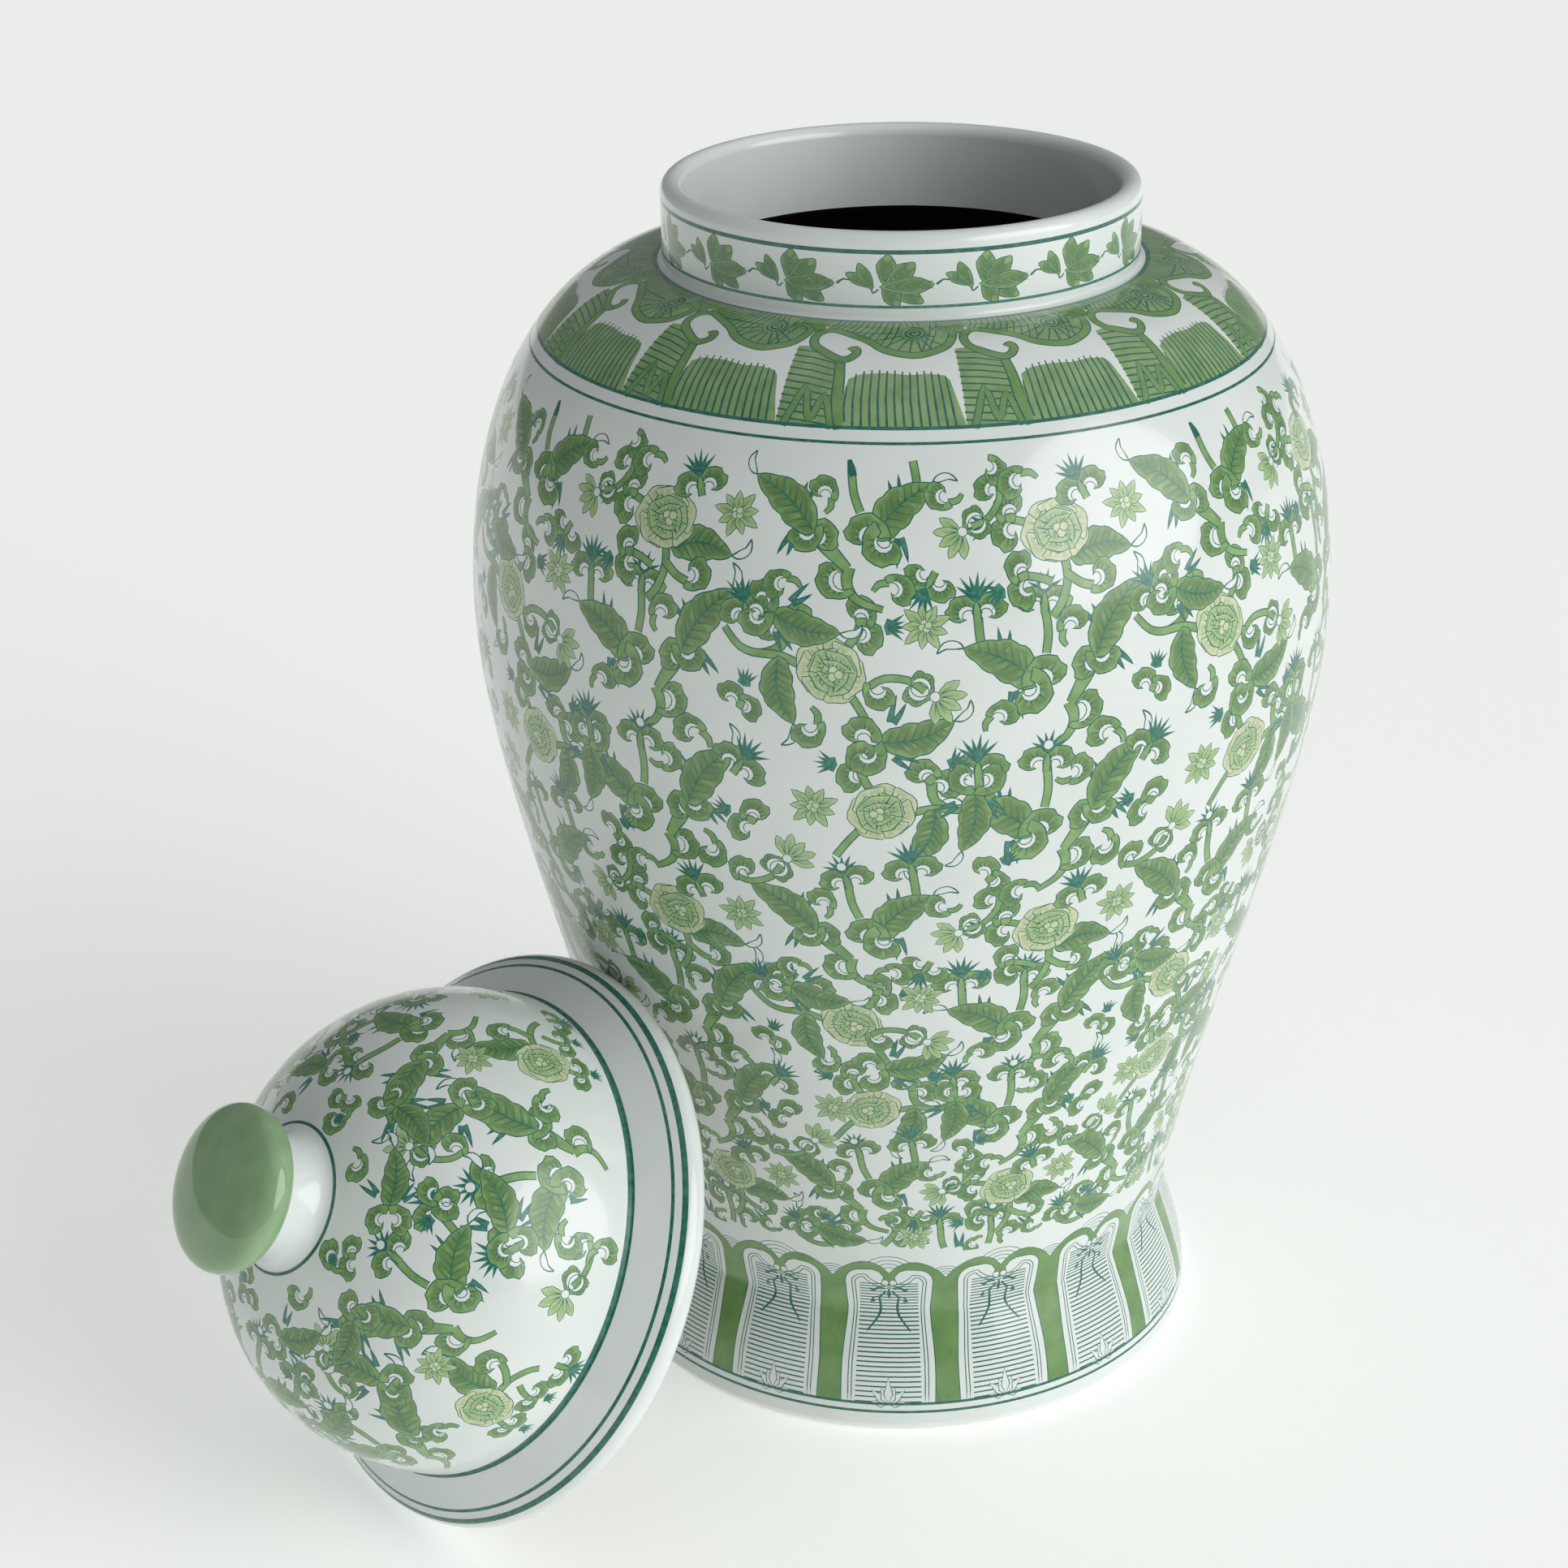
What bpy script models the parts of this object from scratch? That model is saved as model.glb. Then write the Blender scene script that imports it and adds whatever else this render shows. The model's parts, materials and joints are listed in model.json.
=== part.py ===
"""Ginger jar with its lid off and leaning on it: a jar and a lid, each built up from thrown sections.

Metres, Z up. The jar stands on z = 0 and the lid leans towards it from the -X side.
"""

import math

import bmesh
import bpy
from mathutils import Vector

# Jar, outside
JAR_HEIGHT = 0.400
FOOT_RADIUS = 0.1025
FOOT_HEIGHT = 0.043
FOOT_ROUNDING = 0.0045
WAIST_RADIUS = 0.093
BELLY_RADIUS = 0.1394
BELLY_LEVEL = 0.266
COLLAR_RADIUS = 0.075
COLLAR_HEIGHT = 0.0255
COLLAR_FILLET = 0.0015
SHOULDER_FULLNESS = 2.1

# Jar, walls and underside
BODY_WALL = 0.0065
COLLAR_WALL = 0.0068
FLOOR_THICKNESS = 0.008
RECESS_DEPTH = 0.010
FOOT_RING_WIDTH = 0.0095
FLOOR_CORNER = 0.014

# Lid, outside
LID_RADIUS = 0.0923
RIM_BEAD = 0.0058
DOME_RADIUS = 0.0771
DOME_HEIGHT = 0.0738
DOME_FULLNESS = 2.25
FLANGE_SLOPE = math.radians(35)
STEM_RADIUS = 0.0227
STEM_WAIST = 0.0188
STEM_HEIGHT = 0.0135
KNOB_RADIUS = 0.0260
KNOB_RISE = 0.0085
KNOB_DROP = 0.0060

# Lid, walls and fit in the collar
LID_WALL = 0.0058
SEAT_LEVEL = 0.0060
RING_CLEARANCE = 0.0016
RING_WALL = 0.0055
RING_DEPTH = 0.016

# How the sections meet, and how the lid leans
SEAM = 0.0003
LEAN = math.radians(30.4)
LEAN_CLEARANCE = 0.0004

# Facets
JAR_STEPS = 72
LID_STEPS = 64
KNOB_STEPS = 36

SHOULDER_LEVEL = JAR_HEIGHT - COLLAR_HEIGHT
MOUTH_RADIUS = COLLAR_RADIUS - COLLAR_WALL
SHOULDER_RADIUS = COLLAR_RADIUS + COLLAR_FILLET
BEAD_CENTRE = LID_RADIUS - RIM_BEAD
RING_RADIUS = MOUTH_RADIUS - RING_CLEARANCE

CLAY_WHITE = (0.80, 0.83, 0.81)
CELADON = (0.27, 0.45, 0.23)


# ---- outlines, as lists of (radius, height) ----

def arc(centre, radius, start, end, count):
    """Points on a circle from the start angle to the end angle, in degrees, both included."""
    points = []
    for step in range(count + 1):
        angle = math.radians(start + (end - start) * step / count)
        points.append((centre[0] + radius * math.cos(angle), centre[1] + radius * math.sin(angle)))
    return points


def bezier(p0, p1, p2, p3, count):
    points = []
    for step in range(count + 1):
        t = step / count
        weights = ((1 - t) ** 3, 3 * t * (1 - t) ** 2, 3 * t * t * (1 - t), t ** 3)
        points.append(tuple(sum(w * p[k] for w, p in zip(weights, (p0, p1, p2, p3))) for k in (0, 1)))
    return points


def quarter(inner, base, width, height, fullness, count, last=90.0):
    """A quarter of a superellipse, from its widest point up to the angle last."""
    points = []
    for step in range(count + 1):
        angle = math.radians(last * step / count)
        radius = inner + width * math.cos(angle) ** (2 / fullness)
        points.append((radius, base + height * math.sin(angle) ** (2 / fullness)))
    return points


def inset(points, wall):
    """The same outline a wall's thickness further in, for an outline that runs up the outside."""
    moved = []
    for index, point in enumerate(points):
        before = points[max(index - 1, 0)]
        after = points[min(index + 1, len(points) - 1)]
        run = Vector((after[0] - before[0], after[1] - before[1])).normalized()
        moved.append((point[0] - run.y * wall, point[1] + run.x * wall))
    return moved


def lower_wall(count=9):
    """The outside from the waist up to the belly."""
    rise = BELLY_LEVEL - FOOT_HEIGHT
    near_waist = (WAIST_RADIUS + 0.052 * rise, FOOT_HEIGHT + 0.34 * rise)
    near_belly = (BELLY_RADIUS, BELLY_LEVEL - 0.26 * rise)
    return bezier((WAIST_RADIUS, FOOT_HEIGHT), near_waist, near_belly, (BELLY_RADIUS, BELLY_LEVEL), count)


def upper_wall(count=10):
    """The outside from the belly up and over to the foot of the collar."""
    width = BELLY_RADIUS - SHOULDER_RADIUS
    height = SHOULDER_LEVEL - BELLY_LEVEL
    return quarter(SHOULDER_RADIUS, BELLY_LEVEL, width, height, SHOULDER_FULLNESS, count)


def dome_wall(radius, height, count=9):
    """The dome from the flange up to the stem."""
    seat = min(STEM_RADIUS / radius, 0.9)
    last = math.degrees(math.acos(seat ** (DOME_FULLNESS / 2)))
    return quarter(0, flange_top(DOME_RADIUS), radius, height, DOME_FULLNESS, count, last)


def flange_top(radius):
    """Height of the sloping brim at a radius, in the lid's own frame."""
    edge_radius = BEAD_CENTRE + RIM_BEAD * math.sin(FLANGE_SLOPE)
    edge_height = RIM_BEAD * math.cos(FLANGE_SLOPE)
    return edge_height + (edge_radius - radius) * math.tan(FLANGE_SLOPE)


# ---- the sections of the jar ----

def base_outline():
    top = FOOT_HEIGHT - SEAM / 2
    inner_waist = WAIST_RADIUS - BODY_WALL
    floor = RECESS_DEPTH + FLOOR_THICKNESS
    corner = inner_waist - 0.6 * FLOOR_CORNER
    inside = bezier((corner - FLOOR_CORNER, floor), (corner, floor),
                    (inner_waist, floor + FLOOR_CORNER * 0.5), (inner_waist, top), 4)
    flare = bezier((WAIST_RADIUS, top), (WAIST_RADIUS + 0.006, FOOT_HEIGHT * 0.58),
                   (FOOT_RADIUS, FOOT_HEIGHT * 0.40), (FOOT_RADIUS, FOOT_ROUNDING), 6)
    rounding = arc((FOOT_RADIUS - FOOT_ROUNDING, FOOT_ROUNDING), FOOT_ROUNDING, 0, -90, 3)[1:]
    ring_inside = FOOT_RADIUS - FOOT_ROUNDING - FOOT_RING_WIDTH
    recess = [(ring_inside, 0), (ring_inside - 0.001, RECESS_DEPTH - 0.002), (ring_inside - 0.003, RECESS_DEPTH)]
    return [(0, floor)] + inside + flare + rounding + recess + [(0, RECESS_DEPTH)]


def lower_body_outline():
    outside = lower_wall()
    inside = [(radius - BODY_WALL, height) for radius, height in outside]
    outside[0] = (outside[0][0], FOOT_HEIGHT + SEAM / 2)
    inside[0] = (inside[0][0], FOOT_HEIGHT + SEAM / 2)
    outside[-1] = (outside[-1][0], BELLY_LEVEL - SEAM / 2)
    inside[-1] = (inside[-1][0], BELLY_LEVEL - SEAM / 2)
    return outside[::-1] + inside


def upper_body_outline():
    outside = upper_wall()
    inside = [point for point in inset(outside, BODY_WALL) if point[0] > MOUTH_RADIUS + 0.001]
    outside[0] = (outside[0][0], BELLY_LEVEL + SEAM / 2)
    inside[0] = (BELLY_RADIUS - BODY_WALL, BELLY_LEVEL + SEAM / 2)
    lip = [(MOUTH_RADIUS, SHOULDER_LEVEL - BODY_WALL)]
    return [(MOUTH_RADIUS, SHOULDER_LEVEL)] + outside[::-1] + inside + lip


def collar_outline():
    foot = SHOULDER_LEVEL + SEAM
    half = COLLAR_WALL / 2
    lip = arc((COLLAR_RADIUS - half, JAR_HEIGHT - half), half, 180, 0, 6)
    fillet = arc((SHOULDER_RADIUS, foot + COLLAR_FILLET), COLLAR_FILLET, 180, 270, 3)
    return lip + fillet + [(MOUTH_RADIUS, foot)]


# ---- the sections of the lid, in the lid's own frame: z = 0 is the plane of the rim ----

def dome_outline():
    outside = dome_wall(DOME_RADIUS, DOME_HEIGHT)
    inner_radius = DOME_RADIUS - LID_WALL
    inside = dome_wall(inner_radius, DOME_HEIGHT - LID_WALL)
    foot = flange_top(DOME_RADIUS) + SEAM
    outside[0] = (outside[0][0], foot)
    inside[0] = (inside[0][0], foot)
    return [(0, outside[-1][1])] + outside[::-1] + inside + [(0, inside[-1][1])]


def flange_outline():
    junction = flange_top(DOME_RADIUS)
    slope_angle = 90 - math.degrees(FLANGE_SLOPE)
    bead = arc((BEAD_CENTRE, 0), RIM_BEAD, slope_angle, -110, 8)
    inner = RING_RADIUS - RING_WALL
    return [
        (inner, junction - 0.003),
        (inner + 0.003, junction),
        (DOME_RADIUS, junction),
    ] + bead + [
        (COLLAR_RADIUS + 0.004, SEAT_LEVEL),
        (inner, SEAT_LEVEL),
    ]


def ring_outline():
    top = SEAT_LEVEL - SEAM
    bottom = SEAT_LEVEL - RING_DEPTH
    chamfer = RING_WALL * 0.3
    inner = RING_RADIUS - RING_WALL
    return [
        (inner, top),
        (RING_RADIUS, top),
        (RING_RADIUS, bottom + chamfer),
        (RING_RADIUS - chamfer, bottom),
        (inner + chamfer, bottom),
        (inner, bottom + chamfer),
    ]


def stem_levels():
    seat = dome_wall(DOME_RADIUS, DOME_HEIGHT)[-1][1]
    return seat + SEAM, seat + SEAM + STEM_HEIGHT


def stem_outline():
    bottom, top = stem_levels()
    sweep = bezier((STEM_WAIST, top), (STEM_WAIST, bottom + 0.5 * STEM_HEIGHT),
                   (STEM_WAIST, bottom + 0.1 * STEM_HEIGHT), (STEM_RADIUS, bottom), 6)
    return [(0, top)] + sweep + [(0, bottom)]


def knob_outline():
    bottom = stem_levels()[1] + SEAM
    middle = bottom + KNOB_DROP
    top = quarter(0, middle, KNOB_RADIUS, KNOB_RISE, 2.6, 7)
    underside = [(radius, 2 * middle - height) for radius, height in
                 quarter(STEM_WAIST, middle, KNOB_RADIUS - STEM_WAIST, KNOB_DROP, 2.0, 4)[1:]]
    return [(0, top[-1][1])] + top[-2::-1] + underside + [(0, bottom)]


# ---- where the lid leans ----

def gap_to_jar(radius, height):
    """Distance in the section plane from a point to the jar's wall, negative inside the jar."""
    wall = lower_wall(40) + upper_wall(40)[1:]
    point = Vector((radius, height))
    nearest = 10.0
    inside = False
    for start, end in zip(wall, wall[1:]):
        a = Vector(start)
        span = Vector(end) - a
        share = max(0.0, min(1.0, (point - a).dot(span) / span.length_squared))
        nearest = min(nearest, (point - a - span * share).length)
        if start[1] <= height < end[1]:
            inside = radius < start[0] + (end[0] - start[0]) * (height - start[1]) / (end[1] - start[1])
    return -nearest if inside else nearest


def lid_place():
    """Distance of the rim's centre from the jar's axis, and its height, with the rim on the floor."""
    height = BEAD_CENTRE * math.cos(LEAN) + RIM_BEAD
    near = 0.0
    far = 1.0
    while far - near > 1e-7:
        middle = (near + far) / 2
        reach = middle - BEAD_CENTRE * math.sin(LEAN)
        if gap_to_jar(reach, height + BEAD_CENTRE * math.cos(LEAN)) < RIM_BEAD + LEAN_CLEARANCE:
            near = middle
        else:
            far = middle
    return far, height


def furthest_lid_point(distance):
    """How far out along -X the leaning lid reaches."""
    reach = 0.0
    for radius, height in knob_outline() + dome_outline() + flange_outline():
        reach = max(reach, distance + height * math.cos(LEAN) + radius * math.sin(LEAN),
                    distance + height * math.cos(LEAN) - radius * math.sin(LEAN))
    return reach


# ---- scene ----

def clear_scene():
    for item in list(bpy.data.objects):
        bpy.data.objects.remove(item, do_unlink=True)


def glaze(name, colour, roughness):
    material = bpy.data.materials.new(name)
    material.use_nodes = True
    shader = material.node_tree.nodes["Principled BSDF"]
    shader.inputs["Base Color"].default_value = (*colour, 1.0)
    shader.inputs["Roughness"].default_value = roughness
    shader.inputs["Metallic"].default_value = 0.0
    return material


def turned(name, outline, steps, colour, roughness, parent, collection):
    """A section turned on the wheel: its outline swept once round Z."""
    mesh = bpy.data.meshes.new(name)
    bm = bmesh.new()
    corners = [bm.verts.new((max(radius, 0.0), 0.0, height)) for radius, height in outline]
    for start, end in zip(corners, corners[1:]):
        bm.edges.new((start, end))
    if outline[0][0] > 0:
        bm.edges.new((corners[-1], corners[0]))
    bm.to_mesh(mesh)
    bm.free()
    mesh.materials.append(glaze(name, colour, roughness))
    section = bpy.data.objects.new(name, mesh)
    collection.objects.link(section)
    section.parent = parent
    screw = section.modifiers.new("turned", "SCREW")
    screw.axis = "Z"
    screw.steps = steps
    screw.render_steps = steps
    screw.use_merge_vertices = True
    screw.merge_threshold = 0.00005
    return section


def empty(name, location, collection, parent=None):
    frame = bpy.data.objects.new(name, None)
    frame.location = location
    frame.empty_display_size = 0.05
    frame.parent = parent
    collection.objects.link(frame)
    return frame


def main():
    clear_scene()
    collection = bpy.data.collections.new("ginger_jar")
    bpy.context.scene.collection.children.link(collection)

    lid_distance, lid_height = lid_place()
    shift = (furthest_lid_point(lid_distance) - BELLY_RADIUS) / 2

    jar = empty("jar_axis", (shift, 0, 0), collection)
    turned("jar_base", base_outline(), JAR_STEPS, CLAY_WHITE, 0.12, jar, collection)
    turned("lower_body", lower_body_outline(), JAR_STEPS, CLAY_WHITE, 0.12, jar, collection)
    turned("upper_body", upper_body_outline(), JAR_STEPS, CLAY_WHITE, 0.12, jar, collection)
    turned("collar", collar_outline(), JAR_STEPS, CLAY_WHITE, 0.12, jar, collection)

    lid = empty("lid_axis", (-lid_distance, 0, lid_height), collection, jar)
    lid.rotation_euler = (0, LEAN - math.pi / 2, 0)
    turned("lid_flange", flange_outline(), LID_STEPS, CLAY_WHITE, 0.12, lid, collection)
    turned("lid_dome", dome_outline(), LID_STEPS, CLAY_WHITE, 0.12, lid, collection)
    turned("locating_ring", ring_outline(), LID_STEPS, CLAY_WHITE, 0.45, lid, collection)
    turned("knob_stem", stem_outline(), KNOB_STEPS, CLAY_WHITE, 0.12, lid, collection)
    turned("knob", knob_outline(), KNOB_STEPS, CELADON, 0.08, lid, collection)


main()
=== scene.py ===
import json
from math import acos, atan2, cos, exp, hypot, log, pi, radians, sin, tan

import bpy
import numpy as np
from mathutils import Matrix, Vector
from mathutils.geometry import delaunay_2d_cdt


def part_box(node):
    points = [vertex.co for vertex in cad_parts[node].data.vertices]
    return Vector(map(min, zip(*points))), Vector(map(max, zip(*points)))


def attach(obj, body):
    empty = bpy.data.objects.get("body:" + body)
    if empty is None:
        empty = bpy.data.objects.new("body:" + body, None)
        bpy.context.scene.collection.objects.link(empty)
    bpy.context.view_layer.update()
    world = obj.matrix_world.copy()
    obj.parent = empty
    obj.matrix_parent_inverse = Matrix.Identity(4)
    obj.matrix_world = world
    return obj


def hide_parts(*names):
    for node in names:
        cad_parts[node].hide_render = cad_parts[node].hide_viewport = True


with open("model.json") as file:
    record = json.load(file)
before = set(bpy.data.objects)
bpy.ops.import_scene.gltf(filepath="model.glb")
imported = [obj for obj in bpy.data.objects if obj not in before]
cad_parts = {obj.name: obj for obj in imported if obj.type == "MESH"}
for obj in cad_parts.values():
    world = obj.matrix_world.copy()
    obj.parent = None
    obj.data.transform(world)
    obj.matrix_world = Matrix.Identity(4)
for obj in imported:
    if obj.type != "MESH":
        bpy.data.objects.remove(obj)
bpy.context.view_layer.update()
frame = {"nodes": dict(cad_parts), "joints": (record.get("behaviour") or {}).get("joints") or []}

print("frame loaded, nodes:", len(frame["nodes"]))

# Shapes are drawn in millimetres, x round the pot to the right and y up it, and become metres on the mesh.
milli = 0.001

brush = {
    "outline": 0.40,      # width of a teal outline
    "fineLine": 0.24,
    "stem": 2.1,
    "facet": 4.5,         # longest straight run on the wall
}

inks = ["glaze", "teal", "spike", "leaf", "vein", "petal", "cream", "moss", "wash"]


# ---- lines and outlines ----

def curve(points, steps=5, closed=False):
    # a rounded line through the points
    line = []
    count = len(points)
    for i in range(count if closed else count - 1):
        if closed:
            a, b, c, d = (points[(i + k) % count] for k in (-1, 0, 1, 2))
        else:
            a, b, c, d = (points[min(max(i + k, 0), count - 1)] for k in (-1, 0, 1, 2))
        for j in range(steps):
            t = j / steps
            line.append(tuple(0.5 * (2 * q + (r - p) * t + (2 * p - 5 * q + 4 * r - s) * t * t
                                     + (3 * q - p - 3 * r + s) * t ** 3) for p, q, r, s in zip(a, b, c, d)))
    if not closed:
        line.append(tuple(points[-1]))
    return line


def areaOf(points):
    return 0.5 * sum(a[0] * b[1] - b[0] * a[1] for a, b in zip(points, points[1:] + points[:1]))


def swell(points, by):
    # the same outline, moved outwards
    if areaOf(points) < 0:
        points = points[::-1]
    moved = []
    count = len(points)
    for i in range(count):
        a, b = points[i - 1], points[(i + 1) % count]
        dx, dy = b[0] - a[0], b[1] - a[1]
        size = hypot(dx, dy) or 1.0
        moved.append((points[i][0] + dy / size * by, points[i][1] - dx / size * by))
    return moved


def stroke(line, widths):
    # a brush stroke along a line, its width going through the list of widths
    left, right = [], []
    last = len(line) - 1
    for i, (x, y) in enumerate(line):
        a, b = line[max(i - 1, 0)], line[min(i + 1, last)]
        dx, dy = b[0] - a[0], b[1] - a[1]
        size = hypot(dx, dy) or 1.0
        at = i / last * (len(widths) - 1)
        k = min(int(at), len(widths) - 2)
        half = 0.5 * (widths[k] + (widths[k + 1] - widths[k]) * (at - k))
        left.append((x - dy / size * half, y + dx / size * half))
        right.append((x + dy / size * half, y - dx / size * half))
    return left + right[::-1]


def flick(start, end, width):
    # a short stroke that ends in a point
    dx, dy = end[0] - start[0], end[1] - start[1]
    size = hypot(dx, dy) or 1.0
    nx, ny = -dy / size * width / 2, dx / size * width / 2
    return [(start[0] + nx, start[1] + ny), (start[0] - nx, start[1] - ny), end]


def ringOf(x, y, radius, count=12):
    return [(x + radius * cos(2 * pi * k / count), y + radius * sin(2 * pi * k / count))
            for k in range(count)]


def place(shapes, x, y, turn=0.0, size=1.0, flip=False):
    c, s = cos(radians(turn)) * size, sin(radians(turn)) * size
    m = -1 if flip else 1
    return [([(x + c * m * px - s * py, y + s * m * px + c * py) for px, py in points], ink)
            for points, ink in shapes]


def outlined(outline, ink, line=None):
    line = brush["outline"] if line is None else line
    return [(swell(outline, line), "teal"), (outline, ink)]


# ---- the painter's motifs, each growing up from its root at 0, 0 ----

def leaf(length=24.0, width=10.5, bend=2.6, waves=4, hook=1.0):
    def spine(t):
        return bend * sin(pi * t) - 0.15 * bend * t, length * t

    def half(t, side):
        fullness = sin(pi * t ** 0.80) ** 0.72 if 0 < t < 1 else 0.0
        return width / 2 * fullness * (0.93 + 0.16 * abs(sin(waves * pi * t + 0.6 * side)))

    steps = 4 * waves
    edges = []
    for side in (-1, 1):
        edges.append([(spine(k / steps)[0] + side * half(k / steps, side), spine(k / steps)[1])
                      for k in range(steps + 1)])
    shapes = []
    if hook:
        x, y = spine(1.0)
        line = curve([(x, y), (x - 0.2, y + 2.4), (x - 1.9 * hook, y + 5.2), (x - 5.2 * hook, y + 6.2)], 3)
        shapes.append((stroke(line, (0.5, 2.5, 3.0, 2.2, 0.5)), "teal"))
        shapes.append((stroke(line[1:-1], (0.2, 1.8, 2.3, 1.5, 0.15)), "glaze"))
    shapes += outlined(edges[0] + edges[1][-2:0:-1], "leaf")
    rib = [spine(0.04 + 0.90 * k / 6) for k in range(7)]
    shapes.append((stroke(rib, (0.45, 0.8, 0.6, 0.2)), "vein"))
    barbs = 8
    for k in range(barbs):
        t = 0.10 + 0.82 * k / barbs
        x, y = spine(t)
        for side in (-1, 1):
            reach = half(min(t + 0.08, 0.98), side) * (0.88 if k % 2 else 0.72)
            shapes.append((flick((x, y - 0.2), (x + side * reach, y + 0.62 * reach + 0.4), 0.72), "vein"))
    return shapes


def volute(turn=205, inner=2.3, thick=4.9, root=2.0, lobes=3, tip=1.0):
    # a fat lobe that leaves its root upwards and curls over to the right, ending in a beak
    steps = 12
    turn *= 0.93
    thick *= 0.86
    centre = inner * 1.2

    def at(t, out):
        reach = inner * (1.2 - 0.35 * t) + out
        angle = pi - radians(turn) * t
        return centre + reach * cos(angle), reach * sin(angle)

    def fat(t):
        grow = root + (thick - root) * min(1.0, t / 0.58) ** 1.5
        if t > 0.34:
            grow += 0.85 * abs(sin(lobes * pi * (t - 0.34) / 0.62))
        if t > 0.84:
            grow *= max(0.0, 1 - ((t - 0.84) / 0.24) ** 1.6)
        return grow

    outer = [at(k / steps, fat(k / steps)) for k in range(steps + 1)]
    beak = [at(1.07, 1.0), at(1.10 + 0.08 * tip, -1.3 * tip)]
    outline = outer + beak + [at(k / 6, 0) for k in range(6, -1, -1)]
    shapes = outlined(outline, "leaf")

    def lip(t):
        return 1.15 * max(sin(pi * min(max((t - 0.16) / 0.90, 0), 1)), 0.0) ** 0.8

    along = [0.18 + 0.82 * k / 6 for k in range(7)]
    crescent = [at(t, -0.08) for t in along] + [at(t, lip(t)) for t in along[::-1]]
    shapes.append((swell(crescent, brush["fineLine"] * 0.9), "teal"))
    shapes.append((crescent, "glaze"))
    ticks = 7
    for k in range(ticks):
        t = 0.26 + 0.66 * k / (ticks - 1)
        reach = lip(t) + fat(t) * (0.36 if k % 2 else 0.52)
        shapes.append((flick(at(t, lip(t) + 0.1), at(t + 0.015, reach), 0.68), "vein"))
    return shapes


def horn(turn=150, inner=4.0, thick=3.3):
    return volute(turn, inner, thick, 1.0, 2, 0.7)


def tuft(size=6.6, spikes=6, spread=150):
    base = [(2.9 * cos(radians(a)), 2.9 * sin(radians(a))) for a in range(0, 181, 30)]
    shapes = [(base + [(0, -1.0)], "spike")]
    for k in range(spikes):
        a = radians(90 + spread * (k / (spikes - 1) - 0.5))
        reach = size * (0.86 if k % 2 else 1.0) + 1.6
        ca, sa = cos(a), sin(a)
        tip = (reach * ca, reach * sa)
        shapes.append(([(1.2 * ca + 1.0 * sa, 1.2 * sa - 1.0 * ca),
                        (0.55 * reach * ca + 0.6 * sa, 0.55 * reach * sa - 0.6 * ca), tip,
                        (0.55 * reach * ca - 0.6 * sa, 0.55 * reach * sa + 0.6 * ca),
                        (1.2 * ca - 1.0 * sa, 1.2 * sa + 1.0 * ca)], "spike"))
        shapes.append((flick((0.5 * ca, 0.5 * sa), (0.98 * reach * ca, 0.98 * reach * sa), 1.0), "teal"))
    return shapes


def dotted(x, y, radius=1.5):
    return [(ringOf(x, y, radius + 0.3, 10), "teal"), (ringOf(x, y, radius, 10), "glaze")]


def blades(size=8.6, count=2, spread=20):
    shapes = []
    for k in range(count):
        off = k - (count - 1) / 2
        a = radians(90 - spread * off)
        reach = size * (1.0 - 0.14 * (k % 2))
        line = curve([(0.9 * off, 0), (1.3 * off + 0.45 * reach * cos(a), 0.45 * reach * sin(a)),
                      (0.6 * off + reach * cos(a), reach * sin(a))], 2)
        shapes.append((stroke(line, (2.3, 2.0, 1.3, 0.1)), "teal"))
        shapes.append((stroke(line[:-1], (1.6, 1.3, 0.2)), "spike"))
    return shapes


def stem(points, width=None, ends=(1.0, 1.0)):
    width = width or brush["stem"]
    line = curve(points, 3)
    edge = 2 * brush["outline"]
    return [(stroke(line, (width * ends[0] + edge, width + edge, width * ends[1] + edge)), "teal"),
            (stroke(line, (width * ends[0], width, width * ends[1])), "leaf")]


def crown(dot=False, size=6.6):
    # two volutes on a stem with a tuft of spikes between them
    shapes = place(tuft(size, 6, 125 if dot else 105), 0, 4.6)
    for flip in (True, False):
        side = -1 if flip else 1
        shapes += place(volute(190, 2.2, 4.8, 1.6, 3, 0.8), 0.2 * side, 0.0, -14 * side, 1.0, flip)
    shapes += stem([(0.0, -2.6), (0.0, 0.6), (0.0, 3.4)], 1.9, (1.0, 0.3))
    if dot:
        shapes += dotted(0, 6.4)
    return shapes


def lotus(petals=5, spread=126):
    shapes = []
    for side in (-1, 1):
        shapes += place(horn(140, 3.6, 2.9), -0.4 * side, -1.4, -96 * side, 0.95, side < 0)
    for k in sorted(range(petals), key=lambda k: -abs(k - (petals - 1) / 2)):
        a = spread * (k / (petals - 1) - 0.5)
        reach = 9.6 if k % 2 else 8.8
        half = [(0.6, 0.0), (2.4, 1.0), (5.2, 1.75), (reach - 1.3, 0.95), (reach, 0.0)]
        petal = [(w, r) for r, w in half + [(r, -w) for r, w in half[-2:0:-1]]]
        rib = (flick((0, 2.0), (0, 6.0), 0.45), "vein")
        shapes += place(outlined(petal, "petal", 0.28) + [rib], 0, 0.6, a)
    return shapes + dotted(0, 0.4)


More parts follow.
